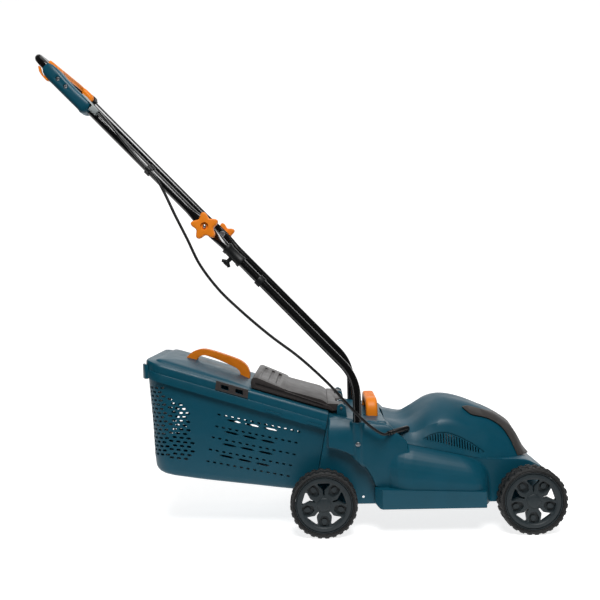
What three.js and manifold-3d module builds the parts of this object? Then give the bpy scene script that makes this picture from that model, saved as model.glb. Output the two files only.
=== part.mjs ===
// Corded electric rotary lawn mower with a rear grass box, in millimetres, +Z up.
// X runs forward, Y to the mower's left. The model is laid out from the rear axle on the ground
// and moved at the end, so that the middle of its footprint is the origin.
import * as THREE from 'three';
import { mergeVertices } from 'three/addons/utils/BufferGeometryUtils.js';
import Module from 'manifold-3d';

const wasm = await Module();
wasm.setup();

// ---------------------------------------------------------------- driving dimensions
const GAP = 0.3; // clearance between pieces that touch
const WALL = 3; // moulded plastic wall

const WHEELBASE = 460;
const WHEEL_RADIUS = 75;
const TYRE_WIDTH = 36;
const WHEEL_FACE_Y = 190; // outer face of a wheel
const RIM_RADIUS = 63.5;
const AXLE_RADIUS = 6;

const DECK_HALF = 140; // half width between the wheels
const FENDER_HALF = 160; // half width above the wheels
const SKIRT_HALF = 180; // half width of the blade skirt
const DECK_BOTTOM = 62;
const SEAM_LOW = [-18, 100]; // line where the grass box meets the deck, x and z
const SEAM_HIGH = [20, 292];
const ARCH_RADIUS = 118; // wheel arch of a rear wheel

const ROTOR_X = 248;
const BLADE_RADIUS = 156;
const BLADE_Z = 80;
const MOTOR_RADIUS = 52;
const MOTOR_SEAT = 182;

const TUBE_Y = 150;
const TUBE_RADIUS = 9.5;
const TUBE_BORE = 8.2;
const SOCKET_X = 79;
const SOCKET_RADIUS = 14;
const PIVOT = [-248, 695]; // fold axis of the handle, x and z
const HANDLE_TOP = [-621, 1088]; // middle of the grip bar
const FLAT_LENGTH = 60; // flattened end of a tube
const FLAT_SHIFT = 4; // how far a flattened end sits beside the other

const BOX_TOP_HALF = 143;
const BOX_BOTTOM_HALF = 128;
const LID_SLOPE = -0.31;
const LID_LEVEL = 276; // height of the lid's plane above the rear axle
const LID_DEPTH = 41;
const BOX_BACK = -398;
const FLAP_HALF = 122;
const FLAP_HINGE = [44, 279];

// ---------------------------------------------------------------- materials
const teal = () => new THREE.MeshStandardMaterial({ color: 0x0a4f61, roughness: 0.45, metalness: 0 });
const orange = () => new THREE.MeshStandardMaterial({ color: 0xe8821e, roughness: 0.5, metalness: 0 });
const charcoal = () => new THREE.MeshStandardMaterial({ color: 0x3d3b3b, roughness: 0.55, metalness: 0 });
const slate = () => new THREE.MeshStandardMaterial({ color: 0x2b3236, roughness: 0.6, metalness: 0 });
const rubber = () => new THREE.MeshStandardMaterial({ color: 0x121212, roughness: 0.85, metalness: 0 });
const blackPaint = () => new THREE.MeshStandardMaterial({ color: 0x0c0c0c, roughness: 0.3, metalness: 0 });
const blackPlastic = () => new THREE.MeshStandardMaterial({ color: 0x161616, roughness: 0.6, metalness: 0 });
const steel = () => new THREE.MeshStandardMaterial({ color: 0xb8bbbe, roughness: 0.3, metalness: 1 });
const greyPlastic = () => new THREE.MeshStandardMaterial({ color: 0xa8adb0, roughness: 0.5, metalness: 0 });
const darkSteel = () => new THREE.MeshStandardMaterial({ color: 0x4a4c50, roughness: 0.45, metalness: 1 });

// ---------------------------------------------------------------- solids
function solid(geometry) {
  const bare = geometry.index ? geometry : geometry.clone();
  bare.deleteAttribute('normal');
  bare.deleteAttribute('uv');
  const merged = mergeVertices(bare, 1e-4);
  const vertProperties = new Float32Array(merged.attributes.position.array);
  const triVerts = new Uint32Array(merged.index.array);
  return new wasm.Manifold(new wasm.Mesh({ numProp: 3, vertProperties, triVerts }));
}

function geometryOf(body) {
  const mesh = body.getMesh();
  const geometry = new THREE.BufferGeometry();
  geometry.setAttribute('position', new THREE.BufferAttribute(mesh.vertProperties.slice(), 3));
  geometry.setIndex(new THREE.BufferAttribute(mesh.triVerts.slice(), 1));
  geometry.computeVertexNormals();
  return geometry;
}

const join = (first, ...rest) => rest.reduce((sum, body) => sum.add(body), first);
const cut = (first, ...rest) => rest.reduce((sum, body) => sum.subtract(body), first);
const common = (first, ...rest) => rest.reduce((sum, body) => sum.intersect(body), first);
const mirrored = (body) => body.mirror([0, 1, 0]);
const bothSides = (body) => body.add(mirrored(body));

function outline(points, radius = 0, segments = 4) {
  // A closed outline whose corners are rounded by quadratic curves.
  const corners = points.map(([u, v]) => new THREE.Vector2(u, v));
  const shape = new THREE.Shape();
  if (radius === 0) {
    shape.setFromPoints(corners);
    return shape;
  }
  const path = [];
  corners.forEach((corner, i) => {
    const before = corners[(i + corners.length - 1) % corners.length];
    const after = corners[(i + 1) % corners.length];
    const reach = Math.min(radius, corner.distanceTo(before) / 2.05, corner.distanceTo(after) / 2.05);
    const start = before.clone().sub(corner).setLength(reach).add(corner);
    const end = after.clone().sub(corner).setLength(reach).add(corner);
    path.push(...new THREE.QuadraticBezierCurve(start, corner, end).getPoints(segments));
  });
  shape.setFromPoints(path);
  return shape;
}

const asShape = (points) => (points instanceof THREE.Shape ? points : outline(points));

function sidePlate(points, yLow, yHigh) {
  // An outline in x and z, as thick as yLow to yHigh.
  const geometry = new THREE.ExtrudeGeometry(asShape(points), { depth: yHigh - yLow, bevelEnabled: false });
  geometry.rotateX(Math.PI / 2);
  geometry.translate(0, yHigh, 0);
  return solid(geometry);
}

function planPlate(points, zLow, zHigh) {
  // An outline in x and y, as thick as zLow to zHigh.
  const geometry = new THREE.ExtrudeGeometry(asShape(points), { depth: zHigh - zLow, bevelEnabled: false });
  geometry.translate(0, 0, zLow);
  return solid(geometry);
}

function block([x0, x1], [y0, y1], [z0, z1]) {
  const geometry = new THREE.BoxGeometry(x1 - x0, y1 - y0, z1 - z0);
  geometry.translate((x0 + x1) / 2, (y0 + y1) / 2, (z0 + z1) / 2);
  return solid(geometry);
}

function rodY(radius, yLow, yHigh, x, z, sides = 16) {
  const geometry = new THREE.CylinderGeometry(radius, radius, yHigh - yLow, sides);
  geometry.translate(x, (yLow + yHigh) / 2, z);
  return solid(geometry);
}

function rodZ(radius, zLow, zHigh, x, y, sides = 16) {
  const geometry = new THREE.CylinderGeometry(radius, radius, zHigh - zLow, sides);
  geometry.rotateX(Math.PI / 2);
  geometry.translate(x, y, (zLow + zHigh) / 2);
  return solid(geometry);
}

function rodBetween(start, end, startRadius, endRadius, sides = 12) {
  const from = new THREE.Vector3(...start);
  const to = new THREE.Vector3(...end);
  const geometry = new THREE.CylinderGeometry(endRadius, startRadius, from.distanceTo(to), sides);
  const turn = new THREE.Quaternion().setFromUnitVectors(
    new THREE.Vector3(0, 1, 0), to.clone().sub(from).normalize());
  geometry.applyQuaternion(turn);
  geometry.translate(...from.add(to).multiplyScalar(0.5));
  return solid(geometry);
}

function turnedY(profile, sides = 32, turn = 0) {
  // A profile of radius and y, turned about the Y axis.
  const points = profile.map(([radius, y]) => new THREE.Vector2(radius, y));
  const geometry = new THREE.LatheGeometry(points, sides);
  geometry.rotateY(turn);
  return solid(geometry);
}

function turnedZ(profile, x, y, sides = 24) {
  const points = profile.map(([radius, z]) => new THREE.Vector2(radius, z));
  const geometry = new THREE.LatheGeometry(points, sides);
  geometry.rotateX(Math.PI / 2);
  geometry.translate(x, y, 0);
  return solid(geometry);
}

function circleShape(radius, sides) {
  const points = [];
  for (let i = 0; i < sides; i += 1) {
    const angle = (2 * Math.PI * i) / sides;
    points.push([radius * Math.cos(angle), radius * Math.sin(angle)]);
  }
  return outline(points);
}

class StationPath extends THREE.Curve {
  // A path that is sampled exactly at its stations.
  constructor(stations) {
    super();
    this.stations = stations;
  }

  getPoint(t, target = new THREE.Vector3()) {
    const last = this.stations.length - 1;
    const at = t * last;
    const i = Math.min(Math.floor(at), last - 1);
    return target.lerpVectors(this.stations[i], this.stations[i + 1], at - i);
  }

  getPointAt(u, target) {
    return this.getPoint(u, target);
  }

  getTangentAt(u, target) {
    return this.getTangent(u, target);
  }
}

function swept(stations, shape, place = null) {
  // A section carried along a list of stations.
  const steps = stations.length - 1;
  const geometry = new THREE.ExtrudeGeometry(shape, { extrudePath: new StationPath(stations), steps });
  if (place) {
    moveVertices(geometry, place);
  }
  return solid(geometry);
}

function moveVertices(geometry, place) {
  const position = geometry.attributes.position;
  const vertex = new THREE.Vector3();
  for (let i = 0; i < position.count; i += 1) {
    vertex.fromBufferAttribute(position, i);
    place(vertex);
    position.setXYZ(i, vertex.x, vertex.y, vertex.z);
  }
}

function alongX(stations, section) {
  // A skin through cross-sections: section is an outline in fractions of width and height,
  // and each station is [x, half width, low z, high z].
  const steps = stations.length - 1;
  const geometry = new THREE.ExtrudeGeometry(outline(section), { depth: 1, steps, bevelEnabled: false });
  moveVertices(geometry, (vertex) => {
    const [x, half, low, high] = stations[Math.round(vertex.z * steps)];
    vertex.set(x, vertex.x * half, low + vertex.y * (high - low));
  });
  return solid(geometry);
}

function between(points, x) {
  // Height of a polyline at x.
  const last = points.length - 1;
  let i = points.findIndex((point) => point[0] >= x);
  i = Math.min(Math.max(i === -1 ? last : i, 1), last);
  const [[x0, z0], [x1, z1]] = [points[i - 1], points[i]];
  return z0 + ((z1 - z0) * (x - x0)) / (x1 - x0);
}

function arc(cx, cz, radius, fromDegrees, toDegrees, steps) {
  const points = [];
  for (let i = 0; i <= steps; i += 1) {
    const angle = THREE.MathUtils.degToRad(fromDegrees + ((toDegrees - fromDegrees) * i) / steps);
    points.push([cx + radius * Math.cos(angle), cz + radius * Math.sin(angle)]);
  }
  return points;
}

const mower = new THREE.Group();

function piece(name, material, body) {
  const mesh = new THREE.Mesh(geometryOf(body), material);
  mesh.name = name;
  mower.add(mesh);
  return mesh;
}

// ---------------------------------------------------------------- deck
const GLAND_IN = [194, -124, 229]; // where the cable's boot enters the cover
const GLAND_OUT = [146, -166, 227];

const beltLine = [[100, 212], [178, 200], [345, 163], [460, 157], [492, 150]];
const COVER_BACK = 146;
const COVER_FRONT = 482;
const NOSE_X = 527; // front end of the deck

function deckCore(inset) {
  const half = DECK_HALF - inset;
  const front = NOSE_X - inset;
  const bevel = front - 46;
  const side = [
    [SEAM_LOW[0] + inset - 9, DECK_BOTTOM], [SEAM_LOW[0] + inset, 100], [SEAM_HIGH[0] + inset - 5, 268],
    [47, 258], [91, 252], [COVER_BACK - 2 - inset, 249],
    [COVER_BACK + 8 - inset, 206], [178, 200], [345, 163], [460, 156], [488, 140], [509, 128], [526, 104],
    [NOSE_X, DECK_BOTTOM],
  ].map(([x, z]) => [Math.min(x, front), z - inset]);
  const plan = outline([[-40, -half], [-40, half], [bevel, half], [front, half * 0.62],
    [front, -half * 0.62], [bevel, -half]], 40, 2);
  return common(sidePlate(side, -half, half), planPlate(plan, 0, 320));
}

function fender(inset) {
  // The deck's side above a rear wheel, outside the wheel arch.
  const half = FENDER_HALF - inset;
  const side = [
    ...arc(0, WHEEL_RADIUS, ARCH_RADIUS + inset, 12, 86, 10),
    [SEAM_LOW[0] + 31, 232], [SEAM_HIGH[0] - 3 + inset, 268 - inset], [91, 246 - inset], [150, 240 - inset],
    [186, 200 - inset], [186, 86 - 2 * inset],
  ];
  const cross = outline([[-half, 40], [half, 40], [half, 215], [half - 6, 238], [half - 22, 262],
    [-half + 22, 262], [-half + 6, 238], [-half, 215]]);
  return common(sidePlate(side, -half, half), alongXPrism(cross, -30, 200));
}

function alongXPrism(shape, xLow, xHigh) {
  const geometry = new THREE.ExtrudeGeometry(shape, { depth: xHigh - xLow, bevelEnabled: false });
  geometry.applyMatrix4(new THREE.Matrix4().makeBasis(
    new THREE.Vector3(0, 1, 0), new THREE.Vector3(0, 0, 1), new THREE.Vector3(1, 0, 0)));
  geometry.translate(xLow, 0, 0);
  return solid(geometry);
}

function drum(inset) {
  // The blade skirt: a broad round-shouldered bulge between the wheels.
  const section = [[-1, 0], [1, 0], [1, 0.34], [0.985, 0.52], [0.955, 0.72], [0.915, 0.9], [0.88, 1],
    [-0.88, 1], [-0.915, 0.9], [-0.955, 0.72], [-0.985, 0.52], [-1, 0.34]];
  const half = SKIRT_HALF - inset;
  const stations = [130 + inset, 178, 220, 262, 305, 345, 374 - inset].map((x) => (
    [x, half, DECK_BOTTOM - inset, between(beltLine, x) - 1 - inset]));
  const plan = outline([[128, -half], [128, half], [374 - inset, half], [374 - inset, -half]], 52 - inset, 4);
  const body = common(alongX(stations, section), planPlate(plan, 0, 300));
  const rim = block([131 + inset, 360 - inset], [-SKIRT_HALF - 2 + inset, SKIRT_HALF + 2 - inset],
    [DECK_BOTTOM - inset, 99]);
  return body.add(rim);
}

function sockets() {
  return bothSides(rodZ(SOCKET_RADIUS, 138, 251, SOCKET_X, TUBE_Y, 14));
}

function deckSolid() {
  const skin = join(deckCore(0), fender(0), drum(0), sockets());
  const fenderRoom = common(fender(WALL), block([-60, 300], [-138, 138], [0, 300]));
  const hollow = join(deckCore(WALL), fenderRoom, drum(WALL));
  const motorSeat = rodZ(66, MOTOR_SEAT - 8, MOTOR_SEAT, ROTOR_X, 0, 24);
  const seatFlat = rodZ(60, MOTOR_SEAT, 260, ROTOR_X, 0, 24);
  const chute = sidePlate([[-60, 110], [-60, 236], [40, 236], [40, 110]], -96, 96);
  const shell = join(cut(skin, hollow, coverBody(GAP)), motorSeat);
  return cut(
    shell, seatFlat, chute, rodBetween(GLAND_OUT, GLAND_IN, 5 + GAP, 6.6 + GAP),
    rodZ(AXLE_RADIUS + 4, 150, 300, ROTOR_X, 0),
    rodY(AXLE_RADIUS + GAP, -200, 200, 0, WHEEL_RADIUS),
    rodY(AXLE_RADIUS + GAP, -200, 200, WHEELBASE, WHEEL_RADIUS),
    bothSides(rodZ(TUBE_RADIUS + GAP, 168, 300, SOCKET_X, TUBE_Y)),
    bothSides(rodY(2.6, 140, 170, SOCKET_X, 203, 10)),
    bothSides(rodY(3, 130, 170, 89, 83, 10)),
  );
}

// ---------------------------------------------------------------- motor cover
const ridge = [[146, 252], [182, 247], [211, 260], [241, 277], [275, 288], [314, 285], [362, 269], [410, 246],
  [453, 216], [466, 189], [482, 152]];

const coverSection = [[-1, 0], [1, 0], [0.985, 0.2], [0.94, 0.48], [0.87, 0.74], [0.77, 0.91], [0.62, 0.985],
  [0.3, 1], [-0.3, 1], [-0.62, 0.985], [-0.77, 0.91], [-0.87, 0.74], [-0.94, 0.48], [-0.985, 0.2]];

function coverStations(grow) {
  const halfWidth = [[146, 141], [345, 141], [400, 130], [440, 116], [466, 104], [COVER_FRONT, 90]];
  const places = [COVER_BACK, 164, 182, 211, 241, 275, 314, 362, 410, 440, 453, 466, COVER_FRONT];
  return places.map((x, i) => {
    const shift = (i === 0 ? -grow : 0) + (i === places.length - 1 ? grow : 0);
    return [x + shift, between(halfWidth, x) + grow, between(beltLine, x) + GAP, between(ridge, x) + grow];
  });
}

function coverBody(grow, openBelow = 0) {
  // The cover's outer shape, larger by grow; openBelow carries it on downwards.
  const stations = coverStations(grow);
  const end = COVER_FRONT + grow;
  const plan = outline([
    [100, -200], [100, 200], [end - 34, 200], [end - 34, 124], [end - 14, 78 + grow], [end, 40],
    [end, -40], [end - 14, -78 - grow], [end - 34, -124], [end - 34, -200],
  ]);
  const dome = alongX(stations, coverSection);
  if (openBelow === 0) {
    return common(dome, planPlate(plan, 0, 400));
  }
  const skirt = alongX(stations.map(([x, half, low]) => [x, half, low - openBelow, low + 0.2]),
    [[-1, 0], [1, 0], [1, 1], [-1, 1]]);
  return common(dome.add(skirt), planPlate(plan, 0, 400));
}

function coverVents() {
  const count = 9;
  const slots = [];
  for (let i = 0; i < count; i += 1) {
    const x = 250 + i * 11;
    const rise = 11 * Math.sin((Math.PI * (i + 0.7)) / (count + 0.4));
    const middle = 201 - 0.27 * (x - 250);
    slots.push(block([x - 3.4, x + 3.4], [100, 160], [middle - rise, middle + rise]));
  }
  return bothSides(join(...slots));
}

function coverSolid() {
  const shell = cut(coverBody(0), coverBody(-WALL, 20));
  return cut(shell, coverVents(), rodBetween(GLAND_OUT, GLAND_IN, 5 + GAP, 6.6 + GAP));
}

function trimSolid() {
  const layer = cut(coverBody(3), coverBody(GAP, 20));
  const band = sidePlate([[326, 274], [344, 278], [390, 262], [424, 238], [444, 208], [500, 208], [500, 158],
    [438, 158], [425, 194], [412, 219], [384, 237], [342, 256]], -130, 130);
  return common(layer, band);
}

// ---------------------------------------------------------------- motor and rotor
function motorCan() {
  const low = MOTOR_SEAT + GAP;
  const body = turnedZ([[0, low], [MOTOR_RADIUS, low], [MOTOR_RADIUS, low + 56], [MOTOR_RADIUS - 8, low + 66],
    [20, low + 68], [20, low + 74], [0, low + 74]], ROTOR_X, 0, 24);
  return cut(body, rodZ(AXLE_RADIUS + 0.5, low - 2, low + 60, ROTOR_X, 0));
}

const motorShaft = () => rodZ(AXLE_RADIUS, 92, MOTOR_SEAT + 58, ROTOR_X, 0);

function coolingFan() {
  const blades = [];
  const count = 8;
  for (let i = 0; i < count; i += 1) {
    const geometry = new THREE.BoxGeometry(30, 2.4, 18);
    geometry.translate(31, 0, 131);
    geometry.rotateZ((2 * Math.PI * i) / count);
    geometry.translate(ROTOR_X, 0, 0);
    blades.push(solid(geometry));
  }
  const plate = turnedZ([[AXLE_RADIUS + GAP, 120], [48, 120], [48, 123], [18, 123], [16, 140],
    [AXLE_RADIUS + GAP, 140], [AXLE_RADIUS + GAP, 120]], ROTOR_X, 0, 24);
  return join(plate, ...blades);
}

function bladeCarrier() {
  return turnedZ([[AXLE_RADIUS + GAP, 84], [34, 84], [34, 90], [16, 94], [16, 118], [AXLE_RADIUS + GAP, 118],
    [AXLE_RADIUS + GAP, 84]], ROTOR_X, 0, 24);
}

function bladeSolid() {
  const points = [[-BLADE_RADIUS, -16], [-BLADE_RADIUS + 70, -22], [BLADE_RADIUS, -24], [BLADE_RADIUS, 16],
    [BLADE_RADIUS - 70, 22], [-BLADE_RADIUS, 24]].map(([x, y]) => [x + ROTOR_X, y]);
  const bar = planPlate(outline(points, 5, 2), BLADE_Z, BLADE_Z + 3.2);
  return cut(bar, rodZ(5, 60, 100, ROTOR_X, 0));
}

function bladeBolt() {
  const head = rodZ(10, BLADE_Z - 8, BLADE_Z - GAP, ROTOR_X, 0, 6);
  const shank = rodZ(4.5, BLADE_Z - 1, 91, ROTOR_X, 0, 12);
  return head.add(shank);
}

// ---------------------------------------------------------------- wheels
const WHEEL_SIDES = 32;
const RIM_SIDES = 24;

function tyreSolid() {
  // The flats of the tread just touch the ground.
  const outer = WHEEL_RADIUS / Math.cos(Math.PI / WHEEL_SIDES);
  const half = TYRE_WIDTH / 2;
  const profile = [
    [RIM_RADIUS + 0.4, -half + 3], [RIM_RADIUS + 4, -half], [outer - 4, -half], [outer, -half + 4],
    [outer, half - 4], [outer - 4, half], [RIM_RADIUS + 4, half], [RIM_RADIUS + 0.4, half - 3],
    [RIM_RADIUS + 0.4, -half + 3],
  ];
  return turnedY(profile, WHEEL_SIDES, Math.PI / WHEEL_SIDES);
}

function spokeSlot(angle) {
  // A narrow slot that widens into a triangle towards the rim.
  const points = [[-3, 21], [3, 21], [3, 33], [15, 48], [-15, 48], [-3, 33]];
  return sidePlate(points, -30, 30).rotate([0, angle, 0]);
}

function spokePocket(angle) {
  const points = [[-8, 26], [8, 26], [14, 37], [9, 50], [-9, 50], [-14, 37]];
  return sidePlate(points, 2, 30).rotate([0, angle, 0]);
}

function rimSolid() {
  // Outer face towards +Y, hub bore along Y.
  const profile = [
    [AXLE_RADIUS + GAP, -17], [15, -17], [15, -4], [54, -4], [57, -14], [RIM_RADIUS, -14],
    [RIM_RADIUS, 15], [59, 15], [54, 9], [17, 12], [15, 13], [AXLE_RADIUS + GAP, 13],
    [AXLE_RADIUS + GAP, -17],
  ];
  const body = turnedY(profile, RIM_SIDES);
  const cuts = [];
  for (let i = 0; i < 5; i += 1) {
    cuts.push(spokeSlot(72 * i));
    cuts.push(spokePocket(72 * i + 36));
  }
  return cut(body, ...cuts);
}

const hubCap = () => turnedY([[0, 13 + GAP], [14.5, 13 + GAP], [14.5, 15], [12, 17], [0, 17.6]], 20);

function wheel(name, x, side) {
  const middle = WHEEL_FACE_Y - TYRE_WIDTH / 2;
  const shapes = [
    ['tyre', rubber(), tyreSolid()], ['rim', slate(), rimSolid()], ['hub_cap', slate(), hubCap()],
  ];
  shapes.forEach(([kind, material, body]) => {
    const facing = side < 0 ? mirrored(body) : body;
    piece(`${kind}_${name}`, material, facing.translate([x, side * middle, WHEEL_RADIUS]));
  });
}

function axleSolid(x) {
  const reach = WHEEL_FACE_Y - TYRE_WIDTH / 2 + 12;
  return rodY(AXLE_RADIUS, -reach, reach, x, WHEEL_RADIUS);
}

// ---------------------------------------------------------------- handle tubes
const handleLength = new THREE.Vector2(HANDLE_TOP[0] - PIVOT[0], HANDLE_TOP[1] - PIVOT[1]).length();
const handleUp = new THREE.Vector3(HANDLE_TOP[0] - PIVOT[0], 0, HANDLE_TOP[1] - PIVOT[1]).normalize();
const handleNormal = new THREE.Vector3(handleUp.z, 0, -handleUp.x); // forward and up, square to the handle

function onHandle(along, y, off = 0) {
  // A point at a distance along the upper handle from the fold axis, and off its plane.
  return new THREE.Vector3(PIVOT[0], y, PIVOT[1])
    .addScaledVector(handleUp, along)
    .addScaledVector(handleNormal, off);
}

function flattened(pivot, direction, across, side, shift, squash) {
  // Presses a tube flat over its last stretch before the fold axis.
  return (vertex) => {
    const from = vertex.clone().sub(pivot);
    const run = from.dot(direction);
    const t = 1 - THREE.MathUtils.smoothstep(run, 14, FLAT_LENGTH);
    if (Math.sign(vertex.y) !== side || t === 0) {
      return;
    }
    const offCentre = from.dot(across);
    vertex.addScaledVector(across, offCentre * 0.25 * t);
    const pressed = side * TUBE_Y + shift + (vertex.y - side * TUBE_Y) * squash;
    vertex.y += (pressed - vertex.y) * t;
  };
}

function bentPath(points, radius, bendSteps = 5) {
  // Stations along straight runs joined by quadratic bends.
  const corners = points.map((point) => (point.isVector3 ? point : new THREE.Vector3(...point)));
  const stations = [corners[0]];
  for (let i = 1; i < corners.length - 1; i += 1) {
    const back = corners[i - 1].clone().sub(corners[i]).setLength(radius).add(corners[i]);
    const ahead = corners[i + 1].clone().sub(corners[i]).setLength(radius).add(corners[i]);
    stations.push(...new THREE.QuadraticBezierCurve3(back, corners[i], ahead).getPoints(bendSteps));
  }
  stations.push(corners[corners.length - 1]);
  return stations;
}

function pressedRun(from, toward) {
  // Extra stations through a flattened tube end, starting at the end.
  return [0, 16, 32, 46, 60, 78].map((run) => from.clone().addScaledVector(toward, run));
}

const lowerUp = new THREE.Vector3(PIVOT[0] - SOCKET_X, 0, PIVOT[1] - 350).normalize();
const lowerAcross = new THREE.Vector3(lowerUp.z, 0, -lowerUp.x);

const END_REACH = 16; // tube left beyond the fold axis

function lowerTube(side) {
  const pivot = new THREE.Vector3(PIVOT[0], side * TUBE_Y, PIVOT[1]);
  const end = pivot.clone().addScaledVector(lowerUp, END_REACH);
  const toward = lowerUp.clone().negate();
  const stations = (foot) => {
    const run = bentPath([end, [SOCKET_X, side * TUBE_Y, 350], [SOCKET_X, side * TUBE_Y, foot]], 46);
    return [...pressedRun(end, toward), ...run.slice(1)];
  };
  const press = (squash) => flattened(pivot, toward, lowerAcross, side, -side * FLAT_SHIFT, squash);
  const outer = swept(stations(168 + GAP), circleShape(TUBE_RADIUS, 12), press(0.36));
  const bore = swept(stations(160), circleShape(TUBE_BORE, 8), press(0.14));
  const plugStart = pivot.clone().addScaledVector(lowerUp, END_REACH - 9);
  const plugEnd = plugStart.clone().addScaledVector(lowerUp, 30);
  const plug = rodBetween(plugStart.toArray(), plugEnd.toArray(), 14, 14);
  return cut(
    outer, cut(bore, plug),
    rodY(4.3, -200, 200, PIVOT[0], PIVOT[1], 12),
    rodY(2.6, -200, 200, SOCKET_X, 203, 10),
  );
}

function upperHandle() {
  const [right, left] = [-1, 1].map((side) => onHandle(-END_REACH, side * TUBE_Y));
  const bends = bentPath([right, onHandle(handleLength, -TUBE_Y), onHandle(handleLength, TUBE_Y), left], 46);
  const stations = [...pressedRun(right, handleUp), ...bends.slice(1, -1),
    ...pressedRun(left, handleUp).reverse()];
  const press = (squash) => (vertex) => {
    [-1, 1].forEach((side) => {
      const pivot = new THREE.Vector3(PIVOT[0], side * TUBE_Y, PIVOT[1]);
      flattened(pivot, handleUp, handleNormal, side, side * FLAT_SHIFT, squash)(vertex);
    });
  };
  const outer = swept(stations, circleShape(TUBE_RADIUS, 12), press(0.36));
  const bore = swept(stations, circleShape(TUBE_BORE, 8), press(0.14));
  const plugs = [-1, 1].map((side) => rodBetween(
    onHandle(-40, side * TUBE_Y).toArray(), onHandle(7 - END_REACH, side * TUBE_Y).toArray(), 16, 16));
  return cut(outer, cut(bore, ...plugs), rodY(4.3, -200, 200, PIVOT[0], PIVOT[1], 12));
}

function knobSolid(side) {
  // Five-lobed hand nut on the outside of the fold, with a collar towards the tubes.
  const points = [];
  const sides = 40;
  for (let i = 0; i < sides; i += 1) {
    const angle = (2 * Math.PI * i) / sides;
    const radius = 23.5 + 7.5 * Math.cos(5 * (angle - THREE.MathUtils.degToRad(94)));
    points.push([PIVOT[0] + radius * Math.cos(angle), PIVOT[1] + radius * Math.sin(angle)]);
  }
  const star = sidePlate(points, 166, 184);
  const collar = rodY(14, 158.2, 167, PIVOT[0], PIVOT[1], 20);
  const bore = rodY(4.4, 150, 200, PIVOT[0], PIVOT[1], 12);
  const recess = rodY(9, 180, 200, PIVOT[0], PIVOT[1], 16);
  const body = cut(star.add(collar), bore, recess);
  return side < 0 ? mirrored(body) : body;
}

function pivotBolt(side) {
  const head = rodY(8, 135, 142, PIVOT[0], PIVOT[1], 12);
  const shank = rodY(4, 141, 182, PIVOT[0], PIVOT[1], 12);
  const body = head.add(shank);
  return side < 0 ? mirrored(body) : body;
}

function tubeScrew(side) {
  const head = rodY(5, 164 + GAP, 167, SOCKET_X, 203, 10);
  const shank = rodY(2.2, 143, 165, SOCKET_X, 203, 8);
  const body = head.add(shank);
  return side < 0 ? mirrored(body) : body;
}

// ---------------------------------------------------------------- switch box and bail
function handleBlock([a0, a1], [y0, y1], [n0, n1], radius = 0) {
  // A block along the handle: along, y and off its plane.
  const corners = [[a0, n0], [a1, n0], [a1, n1], [a0, n1]];
  const shape = outline(corners, radius, 3);
  const geometry = new THREE.ExtrudeGeometry(shape, { depth: y1 - y0, bevelEnabled: false });
  geometry.applyMatrix4(new THREE.Matrix4().makeBasis(handleUp, handleNormal, new THREE.Vector3(0, 1, 0)));
  geometry.translate(PIVOT[0], y0, PIVOT[1]);
  return solid(geometry);
}

const SWITCH_LOW = 363; // along the handle, where the switch box starts
const SWITCH_HIGH = 499;
const SCREW_PLACES = [432, 456];

function switchShape(inset) {
  return handleBlock([SWITCH_LOW + inset, SWITCH_HIGH - inset], [-176 + inset, -128 - inset],
    [-19 + inset, 20 - inset], 8);
}

function handleRod(along0, along1, radius, y, off = 0, sides = 12) {
  const ends = [along0, along1].map((along) => onHandle(along, y, off).toArray());
  return rodBetween(...ends, radius, radius, sides);
}

const SWITCH_SPLIT = -TUBE_Y - 1;

function switchHalf(outerHalf) {
  const hollow = switchShape(WALL);
  const shell = cut(switchShape(0), hollow, handleRod(340, 505, TUBE_RADIUS + 0.5, -TUBE_Y, 0, 16));
  const range = outerHalf ? [-200, SWITCH_SPLIT - 0.2] : [SWITCH_SPLIT + 0.2, -100];
  return common(shell, handleBlock([300, 520], range, [-60, 60]));
}

const BAIL_PIVOT = [486, 8]; // along the handle, and off its plane
const BAIL_BAR = [520, 10];
const BUTTON = [470, 484];

function handleRodY(radius, yLow, yHigh, along, off, sides = 12) {
  const centre = onHandle(along, 0, off);
  return rodY(radius, yLow, yHigh, centre.x, centre.z, sides);
}

const switchOuter = () => cut(
  switchHalf(true),
  handleBlock([BUTTON[0] - 1, BUTTON[1] + 1], [-172, -161], [-30, -10]),
  handleBlock([SWITCH_LOW - 10, SWITCH_LOW + 6], [-172, -164], [-12, 5]),
  handleRod(SWITCH_LOW - 10, SWITCH_LOW + 8, CABLE_RADIUS + GAP, -166, 13.5),
  ...SCREW_PLACES.map((along) => handleRodY(2.6, -190, -160, along, 0, 10)),
);

const switchInner = () => cut(switchHalf(false), handleRodY(3.4, -140, -120, ...BAIL_PIVOT));

function switchScrew(along) {
  const head = handleRodY(4.2, -178.4, -176 - GAP, along, 0, 10);
  const shank = handleRodY(2.2, -177, -166, along, 0, 8);
  return head.add(shank);
}

const safetyButton = () => handleBlock(BUTTON, [-171, -162], [-24.5, -12.5], 2);

function mainsInlet() {
  const shell = handleBlock([SWITCH_LOW - 20, SWITCH_LOW - GAP], [-176, -161.5], [-15, 9], 4);
  return cut(shell, handleBlock([SWITCH_LOW - 30, SWITCH_LOW - 6], [-173.5, -164], [-12, 6], 3));
}

function bailLever() {
  // A U-shaped lever: two short arms from its pivots and a bar beside the grip.
  const armY = 118;
  const corners = [[BAIL_PIVOT, -armY], [BAIL_BAR, -armY], [BAIL_BAR, armY], [BAIL_PIVOT, armY]];
  const stations = bentPath(corners.map(([[along, off], y]) => onHandle(along, y, off)), 18, 4);
  const loop = swept(stations, circleShape(6.5, 10));
  const pins = bothSides(handleRodY(3, 112, 134, ...BAIL_PIVOT));
  const bosses = bothSides(handleRodY(8, armY - 7, armY + 7, ...BAIL_PIVOT));
  return join(loop, bosses, pins);
}

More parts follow.
